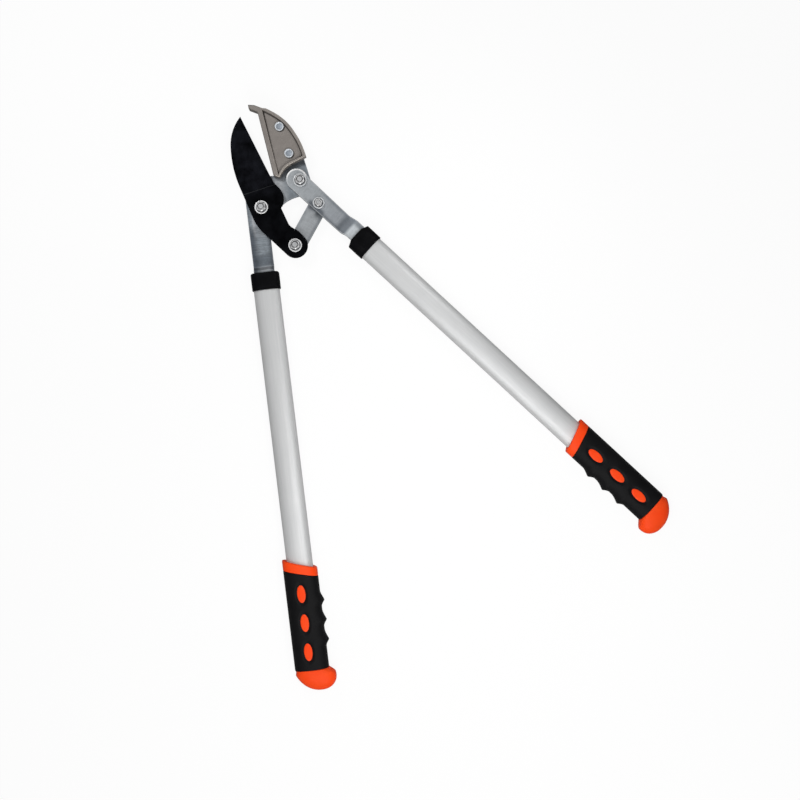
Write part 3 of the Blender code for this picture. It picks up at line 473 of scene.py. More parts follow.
@dataclass(frozen=True)
class AnvilCoat(Finish):
    """Matt warm grey coat on the casting, with a painted highlight on its rims, painted shade in its corners
    and painted shadows beside its rivets.
    """

    dark: Colour = (0.180, 0.160, 0.145)
    light: Colour = (0.280, 0.254, 0.233)
    # rim is the painted highlight colour, corner the painted shade colour
    rim: Colour = (0.520, 0.470, 0.415)
    corner: Colour = (0.022, 0.018, 0.015)
    rim_highlight_share: float = 0.8
    corner_shade_share: float = 0.9
    rivet_shadows: tuple[ToneZone, ...] = ()
    lightness: float = 0.5
    clouding: float = 1.4
    cloud_size: float = 0.0160
    grain: float = 1.1
    grain_size: float = 0.0008
    metallic: float = 0.15
    roughness: float = 0.55
    cloud_roughness: float = 0.2
    relief: float = 0.00010

    def inputs(self, graph: Graph) -> dict:
        """Work out how the finish looks.

        Args:
            graph: the material's nodes.

        Returns:
            The inputs of its Principled shader.
        """
        cloud = graph.noise(self.cloud_size, 4.0)
        grain = graph.noise(self.grain_size, 2.0)
        shade = graph.shade()
        share = self.lightness + cloud * self.clouding + grain * self.grain
        colour = graph.mix(share, self.dark, self.light)
        # lay on the painted shadows beside the rivets
        for stain in self.rivet_shadows:
            colour = stain.over(graph, colour)
        # paint the highlight on the rims and the shade in the corners
        colour = graph.mix(shade.at_least(0.0) * self.rim_highlight_share, colour, self.rim)
        colour = graph.mix((-shade).at_least(0.0) * self.corner_shade_share, colour, self.corner)
        return {
            "Base Color": colour,
            "Metallic": self.metallic,
            "Roughness": self.roughness + cloud * self.cloud_roughness,
            "Normal": graph.bump(grain, self.relief),
        }


@dataclass(frozen=True)
class BladeCoat(Finish):
    """Matt black low-friction coating with faint clouds and a lighter line painted along its grind step."""

    dark: Colour = (0.0003, 0.0003, 0.0006)
    light: Colour = (0.0046, 0.0050, 0.0064)
    ground: Colour = (0.0104, 0.0112, 0.0150)
    ground_from: Fade = Fade(0.0080, 0.0300)
    step_line: Colour = (0.080, 0.082, 0.088)
    lightness: float = 0.45
    clouding: float = 2.2
    cloud_size: float = 0.0140
    grain: float = 0.8
    grain_size: float = 0.0009
    roughness: float = 0.60
    cloud_roughness: float = 0.2
    specular: float = 0.02
    relief: float = 0.00005

    def inputs(self, graph: Graph) -> dict:
        """Work out how the finish looks.

        Args:
            graph: the material's nodes.

        Returns:
            The inputs of its Principled shader.
        """
        cloud = graph.noise(self.cloud_size, 4.0)
        grain = graph.noise(self.grain_size, 2.0)
        share = self.lightness + cloud * self.clouding + grain * self.grain
        lighter = graph.mix(self.ground_from.mask(graph), self.light, self.ground)
        colour = graph.mix(share, self.dark, lighter)
        # paint the lighter line along the grind step
        colour = graph.mix(graph.shade().at_least(0.0), colour, self.step_line)
        return {
            "Base Color": colour,
            "Metallic": 0.0,
            "Roughness": self.roughness + cloud * self.cloud_roughness,
            "Specular IOR Level": self.specular,
            "Normal": graph.bump(grain, self.relief),
        }


@dataclass(frozen=True)
class SatinTube(Finish):
    """Satin aluminium with faint drawing lines along the tube."""

    colour: Colour = (0.650, 0.654, 0.654)
    line: Colour = (0.560, 0.568, 0.573)
    dulling: float = 0.4
    lining: float = 1.2
    line_width: float = 0.0015
    line_stretch: Place = (1.0, 0.02, 1.0)
    clouding: float = 0.5
    cloud_size: float = 0.0300
    metallic: float = 0.30
    roughness: float = 0.50
    line_roughness: float = 0.15
    relief: float = 0.00002

    def inputs(self, graph: Graph) -> dict:
        """Work out how the finish looks.

        Args:
            graph: the material's nodes.

        Returns:
            The inputs of its Principled shader.
        """
        drawn = graph.noise(self.line_width, 3.0, self.line_stretch)
        cloud = graph.noise(self.cloud_size, 2.0)
        share = self.dulling + drawn * self.lining + cloud * self.clouding
        colour = graph.mix(share, self.colour, self.line)
        return {
            "Base Color": colour,
            "Metallic": self.metallic,
            "Roughness": self.roughness + drawn * self.line_roughness,
            "Normal": graph.bump(drawn, self.relief),
        }


@dataclass(frozen=True)
class Moulding(Finish):
    """Moulded plastic or rubber with a fine grain."""

    dark: Colour
    light: Colour
    roughness: float
    grain_size: float
    relief: float
    specular: float
    lightness: float = 0.5
    clouding: float = 1.6
    cloud_size: float = 0.0180
    cloud_roughness: float = 0.15
    grain_roughness: float = 0.1

    def inputs(self, graph: Graph) -> dict:
        """Work out how the finish looks.

        Args:
            graph: the material's nodes.

        Returns:
            The inputs of its Principled shader.
        """
        cloud = graph.noise(self.cloud_size, 3.0)
        grain = graph.noise(self.grain_size, 2.0)
        colour = graph.mix(self.lightness + cloud * self.clouding, self.dark, self.light)
        return {
            "Base Color": colour,
            "Metallic": 0.0,
            "Roughness": self.roughness + cloud * self.cloud_roughness + grain * self.grain_roughness,
            "Specular IOR Level": self.specular,
            "Normal": graph.bump(grain, self.relief),
        }


ANVIL_ARM_STEEL = RolledSteel(
    "anvil_arm_steel", Slot.STEEL, colour=tone(139, 147, 154), edge=tone(150, 155, 162),
    light_shade_and_tone=(
        # These two zones are painted light beside the blade's elbow, where the blade shades the arm
        ToneZone(tone(176, 179, 184), 0.9, (Fade(-0.0645, -0.0625, Axis.X), Fade(-0.0575, -0.0610, Axis.X),
                                        Fade(-0.0320, -0.0380), Fade(-0.0640, -0.0560))),
        ToneZone(tone(150, 156, 162), 0.9, (Fade(-0.0620, -0.0590, Axis.X), Fade(-0.0330, -0.0380),
                                        Fade(-0.0640, -0.0580))),
        # painted light on the plate between the two pivots, where the blade and the lever arm shade it
        ToneZone(tone(178, 182, 186), 0.9, (Fade(-0.0420, -0.0360, Axis.X), Fade(-0.0130, -0.0250, Axis.X))),
        # darker towards the tang
        ToneZone(tone(100, 108, 116), 0.9, (Fade(-0.0790, -0.0870),)),
        # painted light on the neck past the bend
        ToneZone(tone(160, 164, 168), 0.9, (Fade(-0.0940, -0.0985),)),
        # These three zones are painted shade along the arm's edges
        ToneZone(tone(62, 69, 78), 0.90, (Fade(-0.0570, -0.0660, Axis.X), Fade(-0.0460, -0.0580))),
        ToneZone(tone(74, 82, 92), 0.55, (Fade(-0.0640, -0.0684, Axis.X), Fade(-0.0150, -0.0250))),
        ToneZone(tone(70, 76, 84), 0.85, (Fade(-0.0495, -0.0440, Axis.X), Fade(-0.0500, -0.0620))),
        # painted shadow on the arm along the anvil's foot
        ToneZone(tone(66, 70, 77), 0.8, (Fade(0.0214, 0.0262, Axis.AWAY, (0.0009, -0.0050)),
                                     Fade(0.0010, 0.0100))),
    ),
    mottling=0.50, marks=1.3, marks_zone=(-0.092, -0.028))
LEVER_ARM_STEEL = RolledSteel(
    "lever_arm_steel", Slot.STEEL, colour=tone(173, 178, 182), edge=tone(205, 208, 210),
    light_shade_and_tone=(
        # a little darker down the arm
        ToneZone(tone(165, 170, 176), 0.9, (Fade(-0.0340, -0.0560),)),
        # painted shade before and on the bend, then a painted highlight on the neck past it
        ToneZone(tone(112, 118, 125), 0.95, (Fade(-0.0655, -0.0725),)),
        ToneZone(tone(219, 225, 229), 0.95, (Fade(-0.0800, -0.0850),)),
        # These three zones are painted shade along the arm's edges
        ToneZone(tone(90, 96, 104), 0.75, (Fade(-0.0080, -0.0134, Axis.X), Fade(-0.0140, -0.0440))),
        ToneZone(tone(96, 102, 110), 0.85, (Fade(-0.0060, -0.0105, Axis.X), Fade(-0.0220, -0.0280),
                                        Fade(-0.0500, -0.0440))),
        ToneZone(tone(124, 130, 137), 0.75, (Fade(0.0030, 0.0076, Axis.X), Fade(-0.0200, -0.0400))),
        # painted highlight on the upper edge of the round end
        ToneZone(tone(254, 254, 254), 1.0, (Fade(0.0103, 0.0114, Axis.AWAY, (-0.0018, 0.0039)),
                                        Fade(-0.0120, -0.0055, Axis.X), Fade(-0.0030, 0.0010))),
    ),
    mottling=0.22, marks=0.25, marks_zone=(-0.080, 0.0))
LINK_STEEL = RolledSteel(
    "link_steel", Slot.STEEL, colour=tone(175, 179, 183), edge=tone(175, 179, 182),
    light_shade_and_tone=(
        # These two zones are a painted shadow of the lever arm on the link's upper end
        ToneZone(tone(104, 110, 118), 0.95, (Fade(-0.0130, -0.0090),)),
        ToneZone(tone(62, 69, 76), 0.9, (Fade(-0.0200, -0.0100), Fade(-0.0010, 0.0040, Axis.X))),
        # These two zones are painted shade along the link's edges
        ToneZone(tone(118, 124, 130), 0.7, (Fade(0.0060, 0.0105, Axis.X),)),
        ToneZone(tone(146, 152, 158), 0.6, (Fade(-0.0065, -0.0105, Axis.X),)),
    ),
    mottling=0.28, marks=0.35, marks_zone=(-0.060, 0.0))
ZINC = BrightZinc("zinc_plate", Slot.ZINC)
WASHER_STEEL = BrightZinc("washer_plate", Slot.ZINC, colour=tone(212, 215, 218), stain=tone(160, 165, 170),
                          bright=tone(248, 249, 250), clouding=1.4)
RIVET_ZINC = BrightZinc("rivet_plate", Slot.ZINC, colour=(0.30, 0.34, 0.39), stain=(0.20, 0.23, 0.27),
                        bright=(0.90, 0.94, 0.98), clouding=1.0, metallic=0.20)
BLADE_COAT = BladeCoat("blade_coat", Slot.COATING)
SATIN = SatinTube("satin_tube", Slot.TUBE)
COLLAR_PLASTIC = Moulding("collar_plastic", Slot.PLASTIC, dark=(0.0008, 0.0008, 0.0012),
                          light=(0.0036, 0.0036, 0.0044), roughness=0.46, grain_size=0.0010,
                          relief=0.00006, specular=0.06)
ORANGE = Moulding("orange_moulding", Slot.ORANGE, dark=(1.0, 0.056, 0.005), light=(1.0, 0.084, 0.012),
                  roughness=0.46, grain_size=0.0014, relief=0.00003, specular=0.12)
RUBBER = Moulding("rubber_cover", Slot.RUBBER, dark=(0.0016, 0.0016, 0.0020),
                  light=(0.0048, 0.0048, 0.0056), roughness=0.60, grain_size=0.0008,
                  relief=0.00010, specular=0.14)
NYLON = Moulding("nylon_ring", Slot.ZINC, dark=(0.02, 0.02, 0.025), light=(0.05, 0.05, 0.06),
                 roughness=0.45, grain_size=0.0010, relief=0.00002, specular=0.1)


# Numbers and directions

def clamp(value: float) -> float:
    """Return a value kept between 0 and 1."""
    return min(1.0, max(0.0, value))


def ease(value: float) -> float:
    """Return a smooth S over values from 0 to 1, and 0 or 1 outside them."""
    share = clamp(value)
    return share * share * (3.0 - 2.0 * share)


def towards(angle: float) -> Vector:
    """Return the direction at an angle."""
    return Vector((math.cos(angle), math.sin(angle)))


# Outlines

def arc(centre: Point, radius: float, start: float, end: float, chord: float = 0.0006) -> Ring:
    """Return points along an arc, both ends included.

    Args:
        centre: the arc's centre.
        radius: its radius.
        start: angle of its first point.
        end: angle of its last point.
        chord: longest distance between two points.

    Returns:
        The points.
    """
    steps = max(2, math.ceil(abs(end - start) * radius / chord), math.ceil(abs(end - start) / ARC_TURN))
    angles = [start + (end - start) * i / steps for i in range(steps + 1)]
    return [(centre[0] + radius * math.cos(a), centre[1] + radius * math.sin(a)) for a in angles]


def circle(centre: Point, radius: float, steps: int = 72) -> Ring:
    """Return a ring of points round a centre."""
    angles = [math.tau * i / steps for i in range(steps)]
    return [(centre[0] + radius * math.cos(a), centre[1] + radius * math.sin(a)) for a in angles]


def rounded(corners: Sequence[tuple]) -> Ring:
    """Return a closed outline.

    Args:
        corners: (x, y), or (x, y, radius) for a filleted corner.

    Returns:
        The outline's points.
    """
    outline: Ring = []
    for i, (x, y, *fillet) in enumerate(corners):
        if not fillet:
            outline.append((x, y))
            continue
        here, radius = Vector((x, y)), fillet[0]
        before = (Vector(corners[i - 1][:2]) - here).normalized()
        after = (Vector(corners[(i + 1) % len(corners)][:2]) - here).normalized()
        half = before.angle(after) / 2
        centre = here + (before + after).normalized() * (radius / math.sin(half))
        first = here + before * (radius / math.tan(half)) - centre
        turn = first.angle_signed(here + after * (radius / math.tan(half)) - centre)
        start = math.atan2(first.y, first.x)
        outline += arc(tuple(centre), radius, start, start - turn)
    return outline


def on_line(start: Point, angle: float, distance: float) -> Point:
    """Return the point at a distance from another, in a direction."""
    return (start[0] + distance * math.cos(angle), start[1] + distance * math.sin(angle))


def line_to_circle(point: Point, angle: float, centre: Point, radius: float, side: int = 1) -> Point:
    """Return where a line from a point crosses a circle.

    Args:
        point: where the line starts.
        angle: its direction.
        centre: the circle's centre.
        radius: its radius.
        side: 1 for where the line leaves the circle, -1 for where it enters.

    Returns:
        The crossing.
    """
    offset = Vector(point) - Vector(centre)
    along = offset.dot(towards(angle))
    half_chord = math.sqrt(along ** 2 - offset.length_squared + radius ** 2)
    return on_line(point, angle, side * half_chord - along)


def direction(centre: Point, point: Point) -> float:
    """Return the angle of a point seen from a centre."""
    return math.atan2(point[1] - centre[1], point[0] - centre[0])


def tangent(point: Point, centre: Point, radius: float, side: int) -> float:
    """Return the angle on a circle where a line from a point touches it."""
    return direction(centre, point) + side * math.acos(radius / math.dist(point, centre))


def signed_area(ring: Ring) -> float:
    """Return a ring's area, positive if it runs anticlockwise."""
    return sum(a[0] * b[1] - b[0] * a[1] for a, b in zip(ring, ring[1:] + ring[:1])) / 2


def inset(ring: Ring, distance: float) -> Ring:
    """Move an anticlockwise ring's points inward.

    Args:
        ring: the outline.
        distance: how far; negative moves them outward.

    Returns:
        The moved outline, with as many points.
    """
    moved: Ring = []
    for before, here, after in zip(ring[-1:] + ring[:-1], ring, ring[1:] + ring[:1]):
        one = (Vector(here) - Vector(before)).normalized()
        two = (Vector(after) - Vector(here)).normalized()
        normal = Vector((-one.y - two.y, one.x + two.x))
        share = distance / max(MITRE_LIMIT, 1 + one.dot(two))
        moved.append((here[0] + normal.x * share, here[1] + normal.y * share))
    return moved


def oval(half_width: float, half_depth: float, power: float, middle: float = 0.0, steps: int = 96) -> Ring:
    """Return a superellipse ring.

    Args:
        half_width: half of its width.
        half_depth: half of its depth.
        power: 2 for an ellipse, more for a squarer section.
        middle: its centre's x.
        steps: number of points.

    Returns:
        The ring.
    """
    ring: Ring = []
    for i in range(steps):
        a = math.tau * i / steps
        x = math.copysign(abs(math.cos(a)) ** (2 / power), math.cos(a))
        y = math.copysign(abs(math.sin(a)) ** (2 / power), math.sin(a))
        ring.append((middle + half_width * x, half_depth * y))
    return ring


# Meshes

@dataclass(frozen=True)
class Level:
    """One step of an outline's edge, or of a turned profile."""

    z: float
    inset: float = 0.0
    shade: float = 0.0


@dataclass(frozen=True)
class Turn:
    """One ring of a turned piece; a width across flats cuts it to a hexagon."""

    z: float
    radius: float
    flats: float = 0.0
    shade: float = 0.0

    def reach(self, angle: float) -> float:
        """Return how far the ring reaches from the axis.

        Args:
            angle: the direction.

        Returns:
            The distance.
        """
        if not self.flats:
            return self.radius
        sixth = math.pi / 3
        off = (angle + sixth / 2) % sixth - sixth / 2
        return min(self.radius, self.flats / 2 / math.cos(off))


class Solid:
    """A mesh under construction, with painted highlights and painted shade on its points."""

    def __init__(self) -> None:
        """Start an empty mesh."""
        self.mesh = bmesh.new()
        self.paint = self.mesh.verts.layers.float.new(SHADE)

    def ring(self, points: Iterable[Place], shade: float = 0.0) -> list:
        """Add points.

        Args:
            points: their places.
            shade: the value painted on them.

        Returns:
            The new vertices.
        """
        made = [self.mesh.verts.new(point) for point in points]
        for vert in made:
            vert[self.paint] = shade
        return made

    def step(self, outline: Ring, level: Level, side: int = 1) -> list:
        """Add an outline at one of its edge's levels.

        Args:
            outline: the outline.
            level: the level.
            side: 1 for an outer edge, -1 for a hole's.

        Returns:
            The new vertices.
        """
        points = [(x, y, level.z) for x, y in inset(outline, side * level.inset)]
        return self.ring(points, level.shade)

    def slice(self, ring: Ring, down: float) -> list:
        """Add a ring across a handle, at a distance down it."""
        return self.ring([(x, -down, z) for x, z in ring])

    def skin(self, rows: Sequence[list]) -> None:
        """Join rings of equally many vertices with quads, each to the next.

        Args:
            rows: the rings, in order.
        """
        for upper, lower in zip(rows, rows[1:]):
            for i, vert in enumerate(upper):
                j = (i + 1) % len(upper)
                self.mesh.faces.new((vert, upper[j], lower[j], lower[i]))

    def cap(self, *rings: list) -> None:
        """Fill the flat area inside a ring, less the rings inside it.

        Args:
            rings: vertex rings in one plane.
        """
        edges = []
        for ring in rings:
            for one, two in zip(ring, ring[1:] + ring[:1]):
                edges.append(self.mesh.edges.get((one, two)) or self.mesh.edges.new((one, two)))
        bmesh.ops.triangle_fill(self.mesh, use_beauty=True, use_dissolve=False, edges=edges)

    def loft(self, rows: Sequence[list]) -> None:
        """Join rings in order, and close the first and the last with a face each.

        Args:
            rows: the rings.
        """
        self.skin(rows)
        for ring in (rows[0], rows[-1]):
            self.mesh.faces.new(ring)

    def cut(self, spot: Place, normal: Place) -> None:
        """Split the faces that a plane crosses."""
        everything = self.mesh.verts[:] + self.mesh.edges[:] + self.mesh.faces[:]
        bmesh.ops.bisect_plane(self.mesh, geom=everything, plane_co=spot, plane_no=normal)

    def bend(self, start: float, length: float, rise: float, steps: int = 10) -> None:
        """Lift the part below a line of y, in a smooth S along a length.

        Args:
            start: distance of the bend's first line below y = 0.
            length: length of the bend.
            rise: how far it lifts.
            steps: number of strips in the bend.
        """
        for i in range(steps + 1):
            self.cut((0.0, -start - length * i / steps, 0.0), (0.0, 1.0, 0.0))
        for vert in self.mesh.verts:
            vert.co.z += rise * ease((-vert.co.y - start) / length)

    def move(self, place: Matrix) -> "Solid":
        """Move the mesh itself and return it."""
        self.mesh.transform(place)
        return self

    def finish(self, name: str, sharp: float = 40.0) -> bpy.types.Mesh:
        """Turn the faces outward and hand over the mesh.

        Args:
            name: the mesh's name.
            sharp: angle in degrees above which an edge stays sharp.

        Returns:
            The mesh.
        """
        bmesh.ops.remove_doubles(self.mesh, verts=self.mesh.verts, dist=TOUCH)
        self.mesh.normal_update()
        bmesh.ops.recalc_face_normals(self.mesh, faces=self.mesh.faces)
        if self.mesh.calc_volume(signed=True) < 0:
            bmesh.ops.reverse_faces(self.mesh, faces=self.mesh.faces)
        made = bpy.data.meshes.new(name)
        self.mesh.to_mesh(made)
        self.mesh.free()
        made.shade_smooth()
        made.set_sharp_from_angle(angle=math.radians(sharp))
        return made


def rim_levels(bottom: float, top: float, radius: float, shade: float = 0.0,
               hold: float = 0.0003, steps: int = 4) -> list[Level]:
    """Return the levels of a plate's edge, rounded at both faces.

    Args:
        bottom: height of its underside.
        top: height of its upper side.
        radius: rounding of its edges.
        shade: value painted on the rounding.
        hold: width of the strip that keeps the faces flat.
        steps: number of steps of each rounding.

    Returns:
        The levels, from inside the underside to inside the upper side.
    """
    turns = [math.pi / 2 * i / steps for i in range(steps + 1)]
    up = [Level(top - radius * (1 - math.sin(a)), radius * (1 - math.cos(a)), shade) for a in turns]
    down = [Level(bottom + top - level.z, level.inset, shade) for level in reversed(up)]
    return [Level(bottom, radius + hold), *down, *up, Level(top, radius + hold)]


def plate(outline: Ring, holes: Sequence[Ring], levels: Sequence[Level],
          hole_levels: Sequence[Level]) -> Solid:
    """Build a plate with rounded edges.

    Args:
        outline: its outline.
        holes: rings of its holes.
        levels: levels of its outer edge.
        hole_levels: levels of its holes' edges.

    Returns:
        The plate.
    """
    solid = Solid()
    ends = []
    for ring, steps, side in [(outline, levels, 1)] + [(hole, hole_levels, -1) for hole in holes]:
        ccw = ring if signed_area(ring) > 0 else ring[::-1]
        rows = [solid.step(ccw, level, side) for level in steps]
        solid.skin(rows)
        ends.append((rows[0], rows[-1]))
    solid.cap(*[rows[0] for rows in ends])
    solid.cap(*[rows[1] for rows in ends])
    return solid


def turned(turns: Sequence[Turn], hollow: bool = False, steps: int = 96) -> Solid:
    """Build a turned piece about Z.

    Args:
        turns: its rings, in order along its surface.
        hollow: whether the last ring joins the first, as in a washer.
        steps: points round a ring.

    Returns:
        The piece.
    """
    solid = Solid()
    rows = []
    for turn in turns:
        angles = [math.tau * i / steps for i in range(steps)]
        points = [(turn.reach(a) * math.cos(a), turn.reach(a) * math.sin(a), turn.z) for a in angles]
        rows.append(solid.ring(points, turn.shade))
    if hollow:
        solid.skin(rows + rows[:1])
    else:
        solid.loft(rows)
    return solid


def arc_turns(centre: Point, radius: float, start: float, end: float, steps: int = 4,
              shade: float = 0.0) -> list[Turn]:
    """Return rings along an arc of a turned profile.

    Args:
        centre: (radius, z) of the arc's centre.
        radius: the arc's radius.
        start: first angle in degrees, 0 outward and 90 up.
        end: last angle in degrees.
        steps: number of steps.
        shade: painted value.

    Returns:
        The rings.
    """
    angles = [math.radians(start + (end - start) * i / steps) for i in range(steps + 1)]
    return [Turn(centre[1] + radius * math.sin(a), centre[0] + radius * math.cos(a), shade=shade)
            for a in angles]


def add_piece(solid: Solid, name: str, finish: Finish, body: Body, place: Matrix,
              nodes: Sequence[str] = (), sharp: float = 40.0) -> bpy.types.Object:
    """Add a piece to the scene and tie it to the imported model.

    Args:
        solid: its mesh.
        name: its name.
        finish: its finish.
        body: the body that it rides on.
        place: its own axes in the scene.
        nodes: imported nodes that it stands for.
        sharp: angle in degrees above which an edge stays sharp.

    Returns:
        The new object.
    """
    mesh = solid.finish(name, sharp)
    obj = bpy.data.objects.new(name, mesh)
    bpy.context.scene.collection.objects.link(obj)
    obj.matrix_world = place
    mesh.materials.append(finish.material())
    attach(obj, body.value)
    if nodes:
        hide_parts(*nodes)
    log.info("%s on %s: %d faces", name, body.value, len(mesh.polygons))
    return obj


def redress(node: str, finish: Finish) -> None:
    """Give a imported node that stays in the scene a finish.

    Args:
        node: the node's name.
        finish: its finish.
    """
    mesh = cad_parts[node].data
    mesh.materials.clear()
    mesh.materials.append(finish.material())
    log.info("%s keeps its packed shape", node)


# The tool's shared layout

@dataclass(frozen=True)
class Layout:
    """Heights of the layers and places of the pivots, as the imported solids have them."""

    spread: float = math.radians(40.4)
    blade_pivot: Point = (-0.0497, -0.0267)
    link_at_lever: Point = (-0.0049, -0.0348)
    link_at_blade: Point = (0.0347, -0.0499)
    plate: float = 0.0050
    head: float = 0.0053
    washer: float = 0.0016
    spacer: float = 0.0010
    web: float = 0.0045
    neck_in_collar: float = 0.0040
    tang_width: float = 0.0180
    tang_length: float = 0.0480

    @property
    def rear(self) -> float:
        """Height of the rear plates' underside."""
        return self.head + GAP + self.washer + GAP

    @property
    def spacer_z(self) -> float:
        """Height of the spacers' underside."""
        return self.rear + self.plate + GAP

    @property
    def front(self) -> float:
        """Height of the front plates' underside."""
        return self.spacer_z + self.spacer + GAP

    @property
    def front_top(self) -> float:
        """Height of the front plates' upper side."""
        return self.front + self.plate

    @property
    def handle(self) -> float:
        """Height of the handles' middle plane."""
        return self.spacer_z + self.spacer / 2

    def tang(self, collar: "Collar", axis_x: float) -> Ring:
        """Return the corners of an arm's tang.

        Args:
            collar: the collar round the arm.
            axis_x: x of the handle's axis.

        Returns:
            The corners: left and right at the tang's end, right and left at its shoulder.
        """
        head = collar.end - collar.length
        shoulder = head + self.neck_in_collar
        end = head + self.web + GAP + self.tang_length
        left, right = axis_x - self.tang_width / 2, axis_x + self.tang_width / 2
        return [(left, -end), (right, -end), (right, -shoulder), (left, -shoulder)]

    @property
    def lever(self) -> Matrix:
        """The lever handle's axes."""
        return Matrix.Rotation(self.spread, 4, 'Z')

    @property
    def blade(self) -> Matrix:
        """The blade's axes."""
        return Matrix.Translation((*self.blade_pivot, 0.0))

    @property
    def knee(self) -> Vector:
        """Where the link meets the lever arm."""
        return self.lever @ Vector((*self.link_at_lever, 0.0))

    @property
    def tail(self) -> Vector:
        """Where the link meets the blade's tail."""
        return self.blade @ Vector((*self.link_at_blade, 0.0))

    @property
    def link(self) -> Matrix:
        """The link's axes, its far end down its own -Y."""
        span = self.tail - self.knee
        return Matrix.Translation(self.knee) @ Matrix.Rotation(math.atan2(span.x, -span.y), 4, 'Z')


LAYOUT = Layout()


def bar(outline: Ring, holes: Sequence[Ring], low: float, edge: float, shade: float = 0.0) -> Solid:
    """Build a piece of the tool's flat bar.

    Args:
        outline: its outline.
        holes: rings of its holes.
        low: height of its underside.
        edge: rounding of its outer edges.
        shade: value painted on them.

    Returns:
        The piece.
    """
    top = low + LAYOUT.plate
    return plate(outline, holes, rim_levels(low, top, edge, shade), rim_levels(low, top, HOLE_EDGE))


# Fasteners

@dataclass(frozen=True)
class Fastener:
    """A bolt with its head at the back, washers and a locking nut at the front."""

    bolt: float = 0.0080
    thread: float = 0.0060
    head_flats: float = 0.0130
    head_height: float = 0.0053
    washer_width: float = 0.0160
    washer: float = 0.0016
    nut_flats: float = 0.0100
    nut: float = 0.0046
    collar_width: float = 0.0090
    collar: float = 0.0016
    bolt_end: float = 0.0010
    pitch: float = 0.0010
    threads: int = 5
    thread_depth: float = 0.55
    thread_bevel: float = 0.0006
    chamfer: float = 0.97
    chamfer_slope: float = 0.55
    chamfer_steps: int = 6
    # chamfer_shade, nut_shadow and rim_shade are painted light: highlights on the chamfers and washer rims, a
    # painted shadow round the nut's collar
    chamfer_shade: float = 0.9
    nut_edge: float = 0.0006
    nut_shadow: float = -0.45
    nut_recess: float = 0.0012
    rim_shade: float = 0.9
    washer_finish: Finish = ZINC

    def hole(self, centre: Point, loose: float = 0.0) -> Ring:
        """Return the ring of the bolt's hole, at its running fit or looser."""
        return circle(centre, self.bolt / 2 + GAP + loose)

    def washer_turns(self, low: float, edge: float = 0.0005) -> list[Turn]:
        """Return a washer's rings, with a painted highlight on its rim and painted shade where the nut stands
        on it.

        Args:
            low: height of its underside.
            edge: rounding of its outer edge.

        Returns:
            The rings.
        """
        outer, inner, top = self.washer_width / 2, self.bolt / 2 + GAP, low + self.washer
        nut = self.nut_flats / math.sqrt(3)
        return [
            Turn(low, inner), Turn(low, outer - edge),
            *arc_turns((outer - edge, low + edge), edge, -90, 0),
            *arc_turns((outer - edge, top - edge), edge, 0, 90, shade=self.rim_shade),
            Turn(top, outer - 0.0010, shade=self.rim_shade / 2), Turn(top, nut + 0.0011),
            # painted shade round the nut's foot
            Turn(top, nut + 0.0005, shade=-0.8), Turn(top, nut - 0.0012, shade=-1.0),
            Turn(top, inner + 0.0002), Turn(top - 0.0002, inner),
        ]

    def hexagon(self, low: float, high: float, flats: float, both_ends: bool) -> list[Turn]:
        """Return a hexagon's rings, its lower corners turned off.

        Args:
            low: height of its lower end.
            high: height of its upper end.
            flats: width across flats.
            both_ends: whether the upper corners are turned off too.

        Returns:
            The rings.
        """
        corner, face = flats / math.sqrt(3), flats / 2 * self.chamfer
        drop = (corner - face) * self.chamfer_slope
        shares = [i / self.chamfer_steps for i in range(self.chamfer_steps + 1)]
        cone = [(face + (corner - face) * s, drop * s) for s in shares]
        below = [Turn(low + z, r, flats) for r, z in cone]
        # painted highlight on the upper chamfer
        above = [Turn(high - z, r, flats, self.chamfer_shade) for r, z in reversed(cone)]
        return below + (above if both_ends else [Turn(high, corner, flats)])

    def bolt_turns(self, low: float, shoulder: float, end: float) -> list[Turn]:
        """Return the bolt's rings, from its head over the smooth shank to its threaded end, with painted
        shade in the thread's grooves and a darker end.

        Args:
            low: height of the head's end.
            shoulder: height where the shank steps to the thread.
            end: height of the other end.

        Returns:
            The rings.
        """
        shank, thread, top = self.bolt / 2, self.thread / 2, low + self.head_height
        root, groove = thread - self.thread_depth * self.pitch, self.pitch / 2
        threads = []
        z = end - self.thread_bevel
        for _ in range(self.threads):
            # painted shade in each thread groove
            threads += [Turn(z, thread), Turn(z - groove, root, shade=-0.8)]
            z -= self.pitch
        threads.reverse()
        return [
            Turn(low, 0.36 * self.head_flats), *self.hexagon(low, top, self.head_flats, False),
            Turn(top, shank), Turn(shoulder, shank), Turn(shoulder, thread), *threads,
            Turn(end, thread - self.thread_bevel, shade=-0.2), Turn(end, thread * 0.4, shade=-0.35),
        ]

    def nut_turns(self, low: float) -> list[Turn]:
        """Return the nut's rings, with its round collar on top, painted highlights on its chamfer and collar
        rim, and painted shade at the collar's foot and down its bore.

        Args:
            low: height of its underside.

        Returns:
            The rings.
        """
        top, lip = low + self.nut, low + self.nut + self.collar
        outer, inner = self.collar_width / 2, self.thread / 2 + 0.0009
        edge, shadow, deep = self.nut_edge, self.nut_shadow, lip - self.nut_recess
        return [
            Turn(low, self.thread / 2 + GAP),
            *self.hexagon(low, top, self.nut_flats, True),
            # painted shadow round the collar's foot, painted highlight on its rim, painted shade down the
            # bore
            Turn(top, outer + 0.0003, shade=shadow), Turn(top + 0.0003, outer, shade=shadow),
            *arc_turns((outer - edge, lip - edge), edge, 0, 90, shade=1.0),
            Turn(lip, inner + 0.0003, shade=0.8), Turn(lip, inner + 0.0001, shade=-0.6),
            Turn(lip - 0.0003, inner, shade=-1.0), Turn(deep, inner, shade=-1.0),
            Turn(deep, self.thread / 2 + GAP),
        ]

